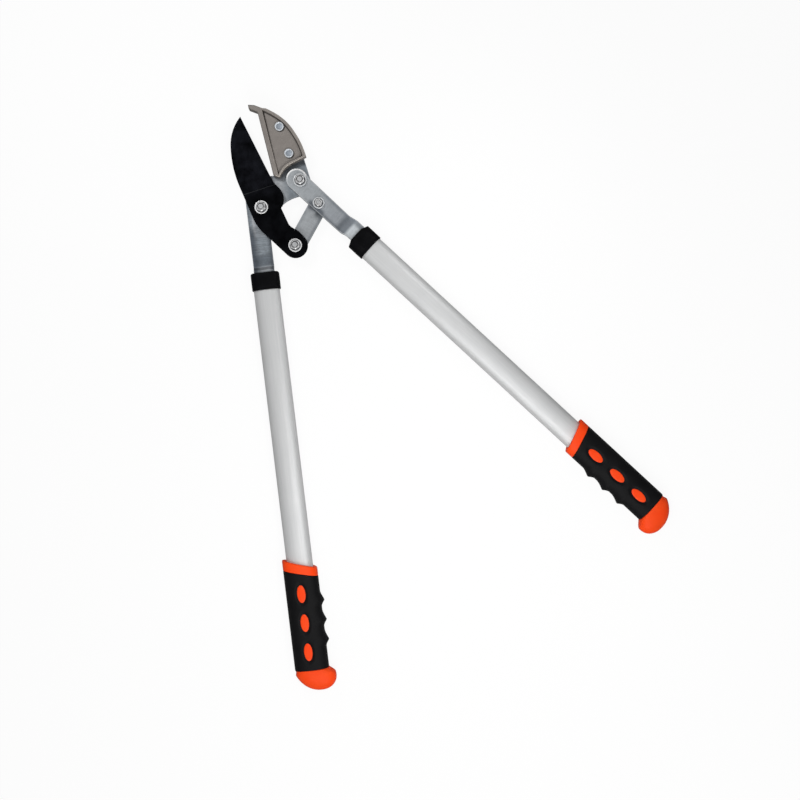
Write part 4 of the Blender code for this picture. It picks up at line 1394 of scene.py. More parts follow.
    def ring_turns(self, low: float) -> list[Turn]:
        """Return the rings of the nylon ring inside the nut's collar.

        Args:
            low: height of the nut's underside.

        Returns:
            The rings.
        """
        lip = low + self.nut + self.collar
        bottom, top = lip - 0.0011, lip - 0.0005
        outer, inner = self.thread / 2 + 0.0008, self.thread / 2 + 0.0001
        return [Turn(bottom, inner), Turn(bottom, outer), Turn(top, outer), Turn(top, inner)]

    def build(self, name: str, centre: Point, axes: Matrix, body: Body) -> None:
        """Add the bolt, its washers and its nut.

        Args:
            name: prefix of the pieces' and nodes' names.
            centre: its axis in the given axes.
            axes: axes of what carries it.
            body: the body that it rides on.
        """
        place = axes @ Matrix.Translation((*centre, 0.0))
        back = LAYOUT.rear - GAP - self.washer
        head = back - GAP - self.head_height
        front = LAYOUT.front_top + GAP
        shoulder = front + self.washer
        nut = shoulder + GAP
        end = nut + self.nut + self.collar + self.bolt_end
        pieces = (
            ("bolt", turned(self.bolt_turns(head, shoulder, end)), ZINC),
            ("head_washer", turned(self.washer_turns(back), True), self.washer_finish),
            ("nut_washer", turned(self.washer_turns(front), True), self.washer_finish),
            ("nut", turned(self.nut_turns(nut), True), ZINC),
        )
        for kind, solid, finish in pieces:
            add_piece(solid, f"{name}_{kind}_detail", finish, body, place, [f"{name}_{kind}"], sharp=32.0)
        add_piece(turned(self.ring_turns(nut), True), f"{name}_nut_ring_detail", NYLON, body, place,
                  sharp=32.0)
        redress(f"{name}_spacer", ZINC)


LARGE = Fastener()
MAIN = Fastener(rim_shade=0.45, washer_finish=WASHER_STEEL)
SMALL = Fastener(bolt=0.0060, thread=0.0050, head_flats=0.0100, head_height=0.0040, washer_width=0.0140,
                 washer=0.0012, nut_flats=0.0080, nut=0.0038, collar_width=0.0072, collar=0.0012,
                 pitch=0.0008, rim_shade=0.45, washer_finish=WASHER_STEEL)


# Cutting head

@dataclass(frozen=True)
class Anvil:
    """The casting that the blade closes on, with its rivets."""

    tilt: float = math.radians(7.3)
    reach: float = 0.0235
    face_start: float = 0.0331
    face_length: float = 0.0770
    depth: float = 0.0110
    pocket: float = 0.0040
    face_rim: float = 0.0057
    back_rim: float = 0.0034
    foot_rim: float = 0.0022
    back_centre: Point = (-0.0751, 0.0154)
    back_radius: float = 0.0864
    foot_centre: Point = (0.0009, -0.0050)
    foot_radius: float = 0.0266
    foot_slope: float = math.radians(20)
    toe_angle: float = math.radians(156.5)
    crown_angle: float = math.radians(58.5)
    corner_radius: float = 0.0012
    hook: tuple = ((0.0062, 0.0044), (-0.0030, 0.0090, 0.0060), (-0.0102, 0.0103, 0.0006),
                   (-0.0099, 0.0051, 0.0010))
    bulge: float = 0.0007
    bulge_arc: Point = (math.radians(25), math.radians(56))
    groove: float = 0.0029
    groove_z: Point = (0.0158, 0.0174)
    edge: float = 0.0007
    # painted highlight on the outer rim's rounding
    edge_shade: float = 0.55
    wall_draft: float = 0.0007
    # pocket_lip paints a highlight on the pocket's lip, pocket_corner paints shade in its corner at the floor
    pocket_lip: tuple = (Level(0.0, -0.0006), Level(0.0, -0.0003, 0.4), Level(-0.0001, -0.0001, 0.6),
                         Level(-0.0004))
    pocket_corner: tuple = (Level(0.0004, 0.0, -1.0), Level(0.0001, 0.0002, -1.0),
                            Level(0.0, 0.0006, -0.9), Level(0.0, 0.0015))
    # a brighter painted highlight and less painted shade along the foot, painted shade on the rim along the
    # cutting face
    foot_band: float = 0.0030
    foot_shade_share: float = 0.25
    face_band: float = 0.0009
    face_shade: float = -0.45
    rivets: tuple = (("upper", 0.0549, 0.0003), ("lower", 0.0211, 0.0095))
    rivet_head: float = 0.0108
    rivet_height: float = 0.0024
    rivet_shank: float = 0.0060
    rivet_edge: float = 0.0009
    rivet_crest: float = 0.0008
    rivet_dish: float = 0.0008
    dish_wall: Point = (0.0021, 0.0026)
    # painted shadow beside each rivet, shifted a little off its centre
    soil: Point = (0.0007, -0.0005)
    shadow_colour: Colour = (0.030, 0.025, 0.020)
    shadow_share: float = 0.85
    shadow_fade: float = 0.0010

    @property
    def low(self) -> float:
        """Height of the anvil's underside."""
        return LAYOUT.rear + LAYOUT.plate + GAP

    @property
    def floor(self) -> float:
        """Height of the pocket's floor."""
        return self.low + self.depth - self.pocket

    def face_point(self, along: float, behind: float = 0.0) -> Point:
        """Return a point of the cutting face.

        Args:
            along: distance up the face.
            behind: distance behind it.

        Returns:
            The point.
        """
        foot = on_line(LAYOUT.blade_pivot, self.tilt, self.reach + behind)
        return on_line(foot, self.tilt + math.pi / 2, self.face_start + along)

    def foot_corner(self, foot_rim: float = 0.0, back_rim: float = 0.0) -> Point:
        """Return where the straight part of the foot meets the back, or where their rims' edges meet."""
        end = on_line(self.foot_centre, self.foot_slope + math.pi / 2, self.foot_radius + foot_rim)
        return line_to_circle(end, self.foot_slope, self.back_centre, self.back_radius - back_rim)

    def back_arc(self, radius: float, start: float, end: float) -> Ring:
        """Return an arc along the back, with its slight bulge.

        Args:
            radius: radius outside the bulge.
            start: angle of its first point.
            end: angle of its last point.

        Returns:
            The arc's points.
        """
        low, high = self.bulge_arc
        points = []
        for x, y in arc(self.back_centre, radius, start, end):
            angle = direction(self.back_centre, (x, y))
            swell = self.bulge * math.sin(math.pi * clamp((angle - low) / (high - low))) ** 2
            points.append(on_line(self.back_centre, angle, radius + swell))
        return points

    def outline(self, groove: float = 0.0) -> Ring:
        """Return the outline: cutting face, hollow foot, round back and hook.

        Args:
            groove: depth of the groove in the face, at the heights of the blade's edge.

        Returns:
            The outline.
        """
        corner = self.foot_corner()
        foot = arc(self.foot_centre, self.foot_radius, self.toe_angle, self.foot_slope + math.pi / 2)
        back = self.back_arc(self.back_radius, direction(self.back_centre, corner), self.crown_angle)
        x, y = self.face_point(self.face_length)
        hook = [(x + dx, y + dy, *fillet) for dx, dy, *fillet in self.hook]
        toe = Vector(self.face_point(0.0))
        run = Vector(foot[0]) - toe
        split = tuple(toe + run * (self.groove / run.dot(towards(self.tilt))))
        start = split if groove else tuple(toe)
        return rounded([start, split, *foot, (*corner, self.corner_radius), *back[1:], *hook, (x, y),
                        self.face_point(self.face_length, groove)])

    def pocket_outline(self) -> Ring:
        """Draw the pocket, inside its rims.

        Returns:
            The outline.
        """
        back, foot = self.back_radius - self.back_rim, self.foot_radius + self.foot_rim
        up = self.tilt + math.pi / 2
        corner = self.foot_corner(self.foot_rim, self.back_rim)
        apex = line_to_circle(self.face_point(0.0, self.face_rim), up, self.back_centre, back)
        toe = line_to_circle(self.face_point(self.face_length, self.face_rim), up + math.pi,
                             self.foot_centre, foot, -1)
        foot_arc = arc(self.foot_centre, foot, direction(self.foot_centre, toe),
                       self.foot_slope + math.pi / 2)
        back_arc = self.back_arc(back, direction(self.back_centre, corner), direction(self.back_centre, apex))
        return rounded([*foot_arc, (*corner, self.corner_radius), *back_arc[1:]])

    def rivet_centres(self) -> list[Point]:
        """Find the rivets' axes.

        Returns:
            One point per rivet.
        """
        reach = self.back_radius - self.back_rim - self.rivet_head / 2
        return [line_to_circle(self.face_point(along), self.tilt, self.back_centre, reach - gap)
                for _, along, gap in self.rivets]

    def near_foot(self, point: Point) -> bool:
        """Return whether a point lies on the rim along the anvil's foot."""
        return math.dist(point, self.foot_centre) < self.foot_radius + self.foot_rim + self.foot_band

    def shade_at(self, point: Point, shade: float) -> float:
        """Return the shade painted at a place: a brighter painted highlight and less painted shade along the
        foot, painted shade on the rim along the cutting face.

        Args:
            point: the place.
            shade: the shade of its level.

        Returns:
            The shade to paint.
        """
        behind = (Vector(point) - Vector(LAYOUT.blade_pivot)).dot(towards(self.tilt)) - self.reach
        if self.near_foot(point):
            return 1.0 if shade > 0.0 else self.foot_shade_share * shade
        return self.face_shade if shade > 0.0 and behind < self.face_band else shade

    def coat(self) -> AnvilCoat:
        """Work out the casting's finish, with a painted shadow beside each rivet.

        Returns:
            The finish.
        """
        rim = self.rivet_head / 2
        light_shade_and_tone = []
        for x, y in self.rivet_centres():
            away = Fade(rim + self.shadow_fade, rim, Axis.AWAY, (x + self.soil[0], y + self.soil[1]))
            light_shade_and_tone.append(ToneZone(self.shadow_colour, self.shadow_share, (away,)))
        return AnvilCoat("anvil_coat", Slot.ANVIL, rivet_shadows=tuple(light_shade_and_tone))

    def casting(self) -> Solid:
        """Build the anvil, its pocket with sloping walls and a rounded rim, with painted highlights on its
        rims and painted shade in the groove and the pocket's corners.

        Returns:
            The casting.
        """
        top, floor = self.low + self.depth, self.floor
        solid = Solid()
        outline, grooved, pocket = self.outline(), self.outline(self.groove), self.pocket_outline()
        edge = rim_levels(self.low, top, self.edge, self.edge_shade)
        half = len(edge) // 2
        low, high = self.groove_z
        walls = [(outline, level) for level in edge[:half]]
        # painted shade in the groove along the cutting face
        walls += [(outline, Level(low)), (grooved, Level(low, shade=-1.0)),
                  (grooved, Level(high, shade=-1.0)), (outline, Level(high))]
        walls += [(outline, level) for level in edge[half:]]
        levels = [Level(top + at.z, at.inset, at.shade) for at in self.pocket_lip]
        levels += [Level(floor + at.z, self.wall_draft + at.inset, at.shade) for at in self.pocket_corner]
        outer = [solid.step(ring, level) for ring, level in walls]
        inner = [solid.step(pocket, level) for level in levels]
        solid.skin(outer)
        solid.skin(inner)
        # paint the highlights and shade of the rims
        for row in outer[len(outer) - half:] + inner:
            for vert in row:
                vert[solid.paint] = self.shade_at(tuple(vert.co.xy), vert[solid.paint])
        solid.cap(outer[-1], inner[0])
        bore = self.rivet_shank / 2 + GAP
        holes, bores = ([solid.ring([(x, y, z) for x, y in circle(centre, bore)])
                         for centre in self.rivet_centres()] for z in (floor, self.low))
        for hole, low in zip(holes, bores):
            solid.skin([hole, low])
        solid.cap(inner[-1], *holes)
        solid.cap(outer[0], *bores)
        return solid

    def rivet(self) -> Solid:
        """Build a rivet about its own axis, its head dished inside a raised rim, with a painted highlight on
        the rim's crest and painted shade at its foot and in its dish.

        Returns:
            The rivet.
        """
        head, shank = self.rivet_head / 2, self.rivet_shank / 2
        bottom = LAYOUT.rear - GAP - self.rivet_height
        front = self.floor + GAP
        top = front + self.rivet_height
        edge, crest, dish = self.rivet_edge, self.rivet_crest, top - self.rivet_dish
        return turned([
            Turn(bottom, 0.6 * head), *arc_turns((head - edge, bottom + edge), edge, -80, 0),
            Turn(LAYOUT.rear - GAP, head), Turn(LAYOUT.rear - GAP, shank), Turn(front, shank),
            # painted shade at the head's foot and a painted highlight on the crest
            Turn(front, head, shade=-0.8), Turn(front + 0.0004, head, shade=-0.5),
            *arc_turns((head - crest, top - crest), crest, 0, 150, 8, shade=0.6),
            Turn(dish + 0.0001, head - self.dish_wall[0], shade=-0.15), Turn(dish, head - self.dish_wall[1]),
            Turn(dish, 0.15 * head),
        ])

    def build(self) -> None:
        """Add the anvil and its rivets."""
        add_piece(self.casting(), "anvil_casting", self.coat(), Body.ANVIL, Matrix(), ["anvil"], sharp=50.0)
        for (which, _, _), centre in zip(self.rivets, self.rivet_centres()):
            place = Matrix.Translation((*centre, 0.0))
            add_piece(self.rivet(), f"anvil_rivet_{which}_head", RIVET_ZINC, Body.ANVIL, place,
                      [f"anvil_rivet_{which}"], sharp=50.0)


@dataclass(frozen=True)
class AnvilArm:
    """The rear arm, from its tang round both pivots and under the anvil."""

    anvil: Anvil
    collar: "Collar"
    axis_x: float
    middle: float = -0.0562
    width: float = 0.0245
    neck_fillet: float = 0.0440
    foot: float = -0.0169
    foot_slope: float = 0.156
    heel_x: float = 0.0149
    heel_radius: float = 0.0130
    back_inset: float = 0.0033
    face_inset: float = 0.0058
    tongue: float = 0.0640
    tongue_radius: float = 0.0050
    top: float = 0.0106
    brow: Point = (-0.0500, 0.0080)
    shoulder: Point = (-0.0130, 0.0120)
    bend_start: float = 0.0960
    bend_length: float = 0.0060
    edge: float = 0.0006
    # strength of the painted highlight on the rounded edges
    edge_shade: float = 0.5

    def outline(self) -> Ring:
        """Draw the arm, with the tang at its lower end.

        Returns:
            The outline.
        """
        anvil, half = self.anvil, self.width / 2
        left, right = self.middle - half, self.middle + half
        tang = LAYOUT.tang(self.collar, self.axis_x)
        shoulder = tang[3][1]
        back = anvil.back_radius - self.back_inset
        tongue = anvil.face_point(self.tongue, self.face_inset)
        top = line_to_circle(tongue, anvil.tilt, anvil.back_centre, back)
        back_arc = arc(anvil.back_centre, back, direction(anvil.back_centre, anvil.foot_corner()),
                       direction(anvil.back_centre, top))
        root = anvil.face_point(0.0, self.face_inset)
        return rounded([
            *tang[:3],
            (right, shoulder),
            (right, self.foot + self.foot_slope * right, self.neck_fillet),
            (self.heel_x, self.foot + self.foot_slope * self.heel_x, self.heel_radius),
            *back_arc[:-1],
            (*top, self.tongue_radius / 2),
            (*tongue, self.tongue_radius),
            (root[0], self.top),
            (self.brow[0], self.top, self.brow[1]),
            (left, *self.shoulder),
            (left, shoulder),
            tang[3],
        ])

    def build(self) -> None:
        """Add the arm."""
        low = LAYOUT.rear
        holes = [LARGE.hole((0.0, 0.0)), LARGE.hole(LAYOUT.blade_pivot)]
        holes += [circle(centre, self.anvil.rivet_shank / 2 + GAP) for centre in self.anvil.rivet_centres()]
        solid = bar(self.outline(), holes, low, self.edge, self.edge_shade)
        solid.bend(self.bend_start, self.bend_length, LAYOUT.handle - low - LAYOUT.plate / 2)
        add_piece(solid, "anvil_arm_bar", ANVIL_ARM_STEEL, Body.ANVIL, Matrix(), ["anvil_arm"])


@dataclass(frozen=True)
class LeverArm:
    """The front arm of the lever handle, in the handle's own axes."""

    collar: "Collar"
    axis_x: float
    end_radius: float = 0.0129
    end_centre: Point = (-0.0018, 0.0039)
    middle: float = -0.0024
    width: float = 0.0221
    throat: Point = (0.0092, -0.0085)
    neck_x: float = 0.0001
    neck_width: float = 0.0223
    neck_right: Point = (0.0725, 0.0830)
    neck_left: Point = (0.0780, 0.0850)
    neck_fillet: float = 0.0150
    bend_start: float = 0.0735
    bend_length: float = 0.0125
    edge: float = 0.0009
    # strength of the painted highlight on the rounded edges
    edge_shade: float = 0.45

    def outline(self) -> Ring:
        """Draw the arm, with the tang at its lower end.

        Returns:
            The outline.
        """
        half, neck, neck_half = self.width / 2, self.neck_x, self.neck_width / 2
        tang = LAYOUT.tang(self.collar, self.axis_x)
        shoulder = tang[3][1]
        left = (self.middle - half, -self.neck_left[0])
        round_end = arc(self.end_centre, self.end_radius,
                        tangent(self.throat, self.end_centre, self.end_radius, 1),
                        tangent(left, self.end_centre, self.end_radius, -1) + math.tau)
        return rounded([
            *tang[:3],
            (neck + neck_half, shoulder),
            (neck + neck_half, -self.neck_right[1], self.neck_fillet),
            (self.middle + half, -self.neck_right[0], self.neck_fillet),
            (*self.throat, self.neck_fillet),
            *round_end,
            (*left, self.neck_fillet),
            (neck - neck_half, -self.neck_left[1], self.neck_fillet),
            (neck - neck_half, shoulder),
            tang[3],
        ])

    def build(self) -> None:
        """Add the arm."""
        low = LAYOUT.front
        holes = [LARGE.hole((0.0, 0.0)), SMALL.hole(LAYOUT.link_at_lever)]
        solid = bar(self.outline(), holes, low, self.edge, self.edge_shade)
        solid.bend(self.bend_start, self.bend_length, LAYOUT.handle - low - LAYOUT.plate / 2)
        add_piece(solid, "lever_arm_bar", LEVER_ARM_STEEL, Body.LEVER, LAYOUT.lever, ["lever_arm"])


@dataclass(frozen=True)
class Link:
    """The link between the lever arm and the blade's tail."""

    width: float = 0.0223
    loose: float = 0.0020
    edge: float = 0.0005
    # strength of the painted highlight on the rounded edges
    edge_shade: float = 0.4

    def build(self) -> None:
        """Add the link."""
        length = (LAYOUT.tail - LAYOUT.knee).length
        radius = self.width / 2
        outline = arc((0.0, 0.0), radius, 0.0, math.pi) + arc((0.0, -length), radius, math.pi, math.tau)
        holes = [SMALL.hole((0.0, 0.0)), LARGE.hole((0.0, -length), self.loose)]
        solid = bar(outline, holes, LAYOUT.rear, self.edge, self.edge_shade)
        add_piece(solid, "link_bar", LINK_STEEL, Body.LINK, LAYOUT.link, ["link"])


@dataclass(frozen=True)
class Blade:
    """The blade with its tail, in axes at its pivot."""

    anvil: Anvil
    opening: float = math.radians(12.6)
    reach: float = 0.0261
    edge_start: float = 0.0220
    edge_end: float = 0.1088
    nose: tuple = (-0.0262, 0.0970, 0.0555)
    belly: tuple = (-0.0303, 0.0522, 0.1350)
    elbow: tuple = (-0.0085, -0.0218, 0.0455)
    tail_radius: float = 0.0148
    knuckle: tuple = (0.0407, -0.0336, 0.0090)
    armpit: tuple = (0.0305, -0.0258, 0.0130)
    notch: tuple = (0.0228, -0.0024, 0.0015)
    shoulder_centre: Point = (0.0087, 0.0090)
    shoulder_radius: float = 0.0189
    shoulder_arc: tuple = (math.radians(-33), math.radians(44))
    grind_start: Point = (-0.0164, 0.0180)
    grind_angle: float = math.radians(11.5)
    grind_step: float = 0.0003
    step_width: float = 0.0005
    step_margin: float = 0.0003
    # strength of the lighter line painted along the grind step
    step_shade: float = 0.8
    land: float = 0.0006
    edge: float = 0.0004

    @property
    def tilt(self) -> float:
        """Direction square to the cutting edge."""
        return self.anvil.tilt + self.opening

    def edge_point(self, along: float) -> Point:
        """Return a point of the cutting edge."""
        return on_line(on_line((0.0, 0.0), self.tilt, self.reach), self.tilt + math.pi / 2, along)

    def outline(self) -> Ring:
        """Draw the blade: edge, spine, tail and shoulder.

        Returns:
            The outline.
        """
        tail = LAYOUT.link_at_blade
        lower = tangent(self.elbow[:2], tail, self.tail_radius, 1)
        upper = tangent(self.knuckle[:2], tail, self.tail_radius, -1)
        return rounded([
            self.edge_point(self.edge_start),
            self.edge_point(self.edge_end),
            self.nose,
            self.belly,
            self.elbow,
            *arc(tail, self.tail_radius, lower - math.tau, upper),
            self.knuckle,
            self.armpit,
            self.notch,
            *arc(self.shoulder_centre, self.shoulder_radius, *self.shoulder_arc),
        ])

    def thin(self, spot: Vector) -> float:
        """Work out what the grind leaves of the plate's thickness.

        Args:
            spot: the place, from the blade's pivot.

        Returns:
            The share, above 1 where the grind doesn't reach.
        """
        square = towards(self.tilt)
        half = LAYOUT.plate / 2
        full = self.reach - Vector(self.grind_start).dot(square)
        rise = (half - self.grind_step - self.land / 2) / full
        return (self.land / 2 + rise * (self.reach - spot.dot(square))) / half

    def build(self) -> None:
        """Add the blade, ground on both sides from a step across it to the edge."""
        low = LAYOUT.front
        middle = low + LAYOUT.plate / 2
        holes = [LARGE.hole((0.0, 0.0)), LARGE.hole(LAYOUT.link_at_blade)]
        solid = bar(self.outline(), holes, low, self.edge)
        across = Vector((-math.sin(self.grind_angle), math.cos(self.grind_angle)))
        start = Vector(self.grind_start)
        for shift in (-self.step_margin, 0.0, self.step_width, self.step_width + self.step_margin):
            spot = start + across * shift
            solid.cut((spot.x, spot.y, 0.0), (across.x, across.y, 0.0))
        for vert in solid.mesh.verts:
            spot = vert.co.xy
            past = (spot - start).dot(across)
            if past > self.step_width / 2:
                vert.co.z = middle + (vert.co.z - middle) * min(1.0, self.thin(spot))
            # paint the lighter line along the step
            elif past > -TOUCH:
                vert[solid.paint] = self.step_shade
        add_piece(solid, "blade_ground", BLADE_COAT, Body.BLADE, LAYOUT.blade, ["blade"], sharp=25.0)


# Handles

@dataclass(frozen=True)
class Collar:
    """The collar that joins an arm to its tube."""

    end: float
    length: float
    shoulder: Point
    width: float = 0.0343
    depth: float = 0.0203
    power: float = 2.8
    clear: float = 0.0002
    socket: float = 0.0120

    def profile(self) -> list[tuple[float, float]]:
        """Draw the collar from its head end.

        Returns:
            Pairs of a distance down the handle and a depth inside the full section.
        """
        head = self.end - self.length
        long, deep = self.shoulder
        return [
            (head, deep + 0.0006), (head + 0.0002, deep + 0.0002), (head + 0.0005, deep),
            (head + long, 0.0003), (head + long + 0.0004, 0.0001), (head + long + 0.0010, 0.0),
            (self.end - 0.0040, 0.0), (self.end - 0.0036, 0.0002), (self.end - 0.0032, 0.0002),
            (self.end - 0.0028, 0.0), (self.end - 0.0008, 0.0), (self.end - 0.0003, 0.0002),
            (self.end, 0.0007),
        ]

    def solid(self, tube: "Tube") -> Solid:
        """Build the collar.

        Args:
            tube: the tube that it holds.

        Returns:
            The collar.
        """
        made = Solid()
        rows = [made.slice(oval(self.width / 2 - depth, (self.depth - depth) / 2, self.power), down)
                for down, depth in self.profile()]
        bore = oval(tube.width / 2 + self.clear, tube.depth / 2 + self.clear, tube.power)
        rows += [made.slice(bore, down) for down in (self.end, self.end - self.socket)]
        made.loft(rows)
        return made


@dataclass(frozen=True)
class Tube:
    """The oval tube of a handle."""

    width: float = 0.0312
    depth: float = 0.0175
    wall: float = 0.0014
    shown: float = 0.3300
    in_grip: float = 0.1150
    power: float = 2.3
    bevel: float = 0.0003
    lengths: int = 24

    def solid(self, start: float, end: float) -> Solid:
        """Build the tube, open at both ends.

        Args:
            start: how far down the handle it starts.
            end: how far down it ends.

        Returns:
            The tube.
        """
        made = Solid()
        bevel = self.bevel
        cuts = [(start + (end - start) * i / self.lengths, 0.0) for i in range(1, self.lengths)]
        walls = [(start + bevel, 0.0), *cuts, (end - bevel, 0.0), (end, bevel), (end, self.wall),
                 (start, self.wall), (start, bevel)]
        rows = [made.slice(oval(self.width / 2 - depth, self.depth / 2 - depth, self.power), down)
                for down, depth in walls]
        made.skin(rows + rows[:1])
        return made


@dataclass(frozen=True)
class Grip:
    """A grip: an orange core with band, pads and cap, and a black cover with finger ridges."""

    inner_side: int
    window_x: float
    outer: float = 0.0206
    inner: float = 0.0207
    depth: float = 0.0266
    power: float = 2.5
    length: float = 0.1270
    cap: float = 0.0265
    cap_bulge: float = 0.0038
    cap_start: float = 0.0002
    cap_sweep: float = 0.0077
    cap_rise: float = 0.30
    cap_width_power: float = 2.4
    cap_depth_power: float = 2.6
    cap_sweep_power: float = 0.6
    cap_neck: float = 0.975
    cap_first: float = 0.015
    cap_span: float = 0.968
    cap_rows: int = 25
    band: float = 0.0114
    band_slope: float = 0.32
    band_edge: float = 0.0008
    band_steps: int = 5
    band_lip: tuple = ((0.0001, 0.0003), (0.0005, 0.0))
    mouth_depth: float = 0.0004
    mouth: tuple = ((0.0030, 0.0), (0.0012, 0.0), (0.0006, 0.0002), (0.0002, 0.0006), (0.0, 0.0012))
    cover_slope: float = 0.27
    cover_edge: tuple = ((0.0009, 0.0), (0.0003, 0.0002), (0.0, 0.0007))
    slope_fade: float = 0.0300
    ridge: float = 0.0035
    ridge_rise: float = 0.0120
    ridge_fall: float = 0.0075
    ridge_power: float = 1.5
    ridge_softness: float = 0.004
    ridges: tuple = (0.368, 0.554, 0.742)
    fit: float = 0.0001
    core_wall: float = 0.0020
    core_socket: float = 0.0130
    windows: tuple = (0.276, 0.550, 0.824)
    window_width: float = 0.0100
    window_length: float = 0.0210
    window_sunk: float = 0.0008
    window_dish: float = 0.0013
    dish_reach: float = 1.5
    dish_fade: float = 0.45
    dish_above: float = 0.0060
    pad_rows: tuple = ((1.0, 0.0060), (1.0, 0.0004), (0.985, 0.00015), (0.95, 0.0), (0.6, 0.0), (0.25, 0.0))
    stations: int = 150
    steps: int = 128

    def section(self, s: float, slope: float, outer: float, inner: float, half_depth: float,
                power: float = 0.0) -> list[Vector]:
        """Return one section of the grip, leaning down towards its inner side.

        Args:
            s: its place down the grip.
            slope: how much it leans.
            outer: reach on the outer side.
            inner: reach on the inner side.
            half_depth: half of its depth.
            power: exponent of the section; 0 takes the grip's own.

        Returns:
            The section's points.
        """
        ring = oval((inner + outer) / 2, half_depth, power or self.power, (inner - outer) / 2, self.steps)
        return [Vector((self.inner_side * x, -s - slope * x, z)) for x, z in ring]

    def full(self, s: float, slope: float, sunk: float = 0.0, ridge: float = 0.0) -> list[Vector]:
        """Return a section of the grip's full size, or one a little under its surface.

        Args:
            s: its place down the grip.
            slope: how much it leans.
            sunk: how far it is under the surface.
            ridge: how far a ridge stands out there.

        Returns:
            The section's points.
        """
        return self.section(s, slope, self.outer - sunk, self.inner + ridge - sunk, self.depth / 2 - sunk)

    def bore(self, s: float, slope: float, tube: Tube, clear: float) -> list[Vector]:
        """Return a section round the tube.

        Args:
            s: its place down the grip.
            slope: how much it leans.
            tube: the tube.
            clear: distance from the tube.

        Returns:
            The section's points.
        """
        half_width = tube.width / 2 + clear
        return self.section(s, slope, half_width, half_width, tube.depth / 2 + clear, tube.power)

    def lean(self, s: float) -> float:
        """Return how much the cover's sections lean at a place."""
        return self.cover_slope * max(0.0, 1.0 - (s - self.band) / self.slope_fade)

    def ridge_at(self, s: float) -> float:
        """Work out how far the ridges between the fingers stand out, their crests softened.

        Args:
            s: the place down the grip.

        Returns:
            The distance, 0 between the ridges.
        """
        offs = [s - share * self.length for share in self.ridges]
        off = min(d / self.ridge_fall if d > 0 else -d / self.ridge_rise for d in offs)
        soft = self.ridge_softness
        crest = math.sqrt(soft)
        share = (math.sqrt(min(1.0, off) ** 2 + soft) - crest) / (math.sqrt(1.0 + soft) - crest)
        return self.ridge * (1.0 - share) ** self.ridge_power

    def window_off(self, x: float, s: float) -> float:
        """Work out how far a place is from the nearest window.

        Args:
            x: its distance from the grip's axis.
            s: its place down the grip.

        Returns:
            The distance, 0 in the window's middle and 1 on its rim.
        """
        across = (x - self.inner_side * self.window_x) / (self.window_width / 2)
        return min(math.hypot(across, (s - share * self.length) / (self.window_length / 2))
                   for share in self.windows)

    def cap_section(self, t: float) -> list[Vector]:
        """Return a section of the end cap.

        Args:
            t: its place, as a share of the cap's length.

        Returns:
            The section's points.
        """
        swell = self.cap_bulge * ease(t / self.cap_rise)
        width = math.sqrt(max(0.0, 1.0 - t ** self.cap_width_power))
        depth = math.sqrt(max(0.0, 1.0 - t ** self.cap_depth_power))
        half = ((self.outer + self.inner) / 2 + swell) * width
        middle = self.cap_start + self.cap_sweep * t ** self.cap_sweep_power
        return self.section(self.length + t * self.cap, 0.0, half - middle, half + middle,
                            self.depth / 2 * depth)

    def core(self, tube: Tube) -> Solid:
        """Build the hard core with its band, pads and cap.

        Args:
            tube: the tube that it is pushed on.

        Returns:
            The core.
        """
        made = Solid()
        band, lean, wall = self.band_slope, self.cover_slope, GAP + self.core_wall
        rows = [self.bore(self.length - self.core_socket, 0.0, tube, self.fit),
                self.bore(self.mouth_depth, band, tube, self.fit)]
        rows += [self.full(s, band, sunk) for sunk, s in self.mouth]
        first = self.mouth[-1][1]
        length = self.band - (first + self.band_edge)
        for i in range(1, self.band_steps + 1):
            rows.append(self.full(first + length * i / self.band_steps,
                                  band + (lean - band) * i / self.band_steps))
        rows += [self.full(self.band - s, lean, sunk) for sunk, s in self.band_lip]
        rows += [self.bore(self.band, lean, tube, wall), self.bore(self.length, 0.0, tube, wall)]
        middle = Vector((0.0, -self.length, 0.0))
        rows.append([middle + (point - middle) * self.cap_neck for point in self.cap_section(0.0)])
        for i in range(self.cap_rows + 1):
            quarter = math.sin(math.pi / 2 * i / self.cap_rows)
            rows.append(self.cap_section(self.cap_first + self.cap_span * quarter))
        made.loft([made.ring([tuple(point) for point in row]) for row in rows])
        for share in self.windows:
            self.add_pad(made, share * self.length)
        return made

    def crown(self, x: float) -> float:
        """Work out the height of the grip's surface above its middle plane.

        Args:
            x: distance from the grip's axis.

        Returns:
            The height.
        """
        half, middle = (self.inner + self.outer) / 2, self.inner_side * (self.inner - self.outer) / 2
        share = min(1.0, abs(x - middle) / half)
        return self.depth / 2 * (1.0 - share ** self.power) ** (1.0 / self.power)

    def add_pad(self, made: Solid, s: float) -> None:
        """Add the oval pads that show through one pair of windows.

        Args:
            made: the core.
            s: the window's place down the grip.
        """
        for side in (1, -1):
            rows = []
            for share, drop in self.pad_rows:
                ring = oval(self.window_width / 2 * share, self.window_length / 2 * share, 2.0,
                            self.inner_side * self.window_x)
                rows.append(made.ring([(x, -s + y, side * (self.crown(x) - self.window_sunk - drop))
                                       for x, y in ring]))
            made.loft(rows)

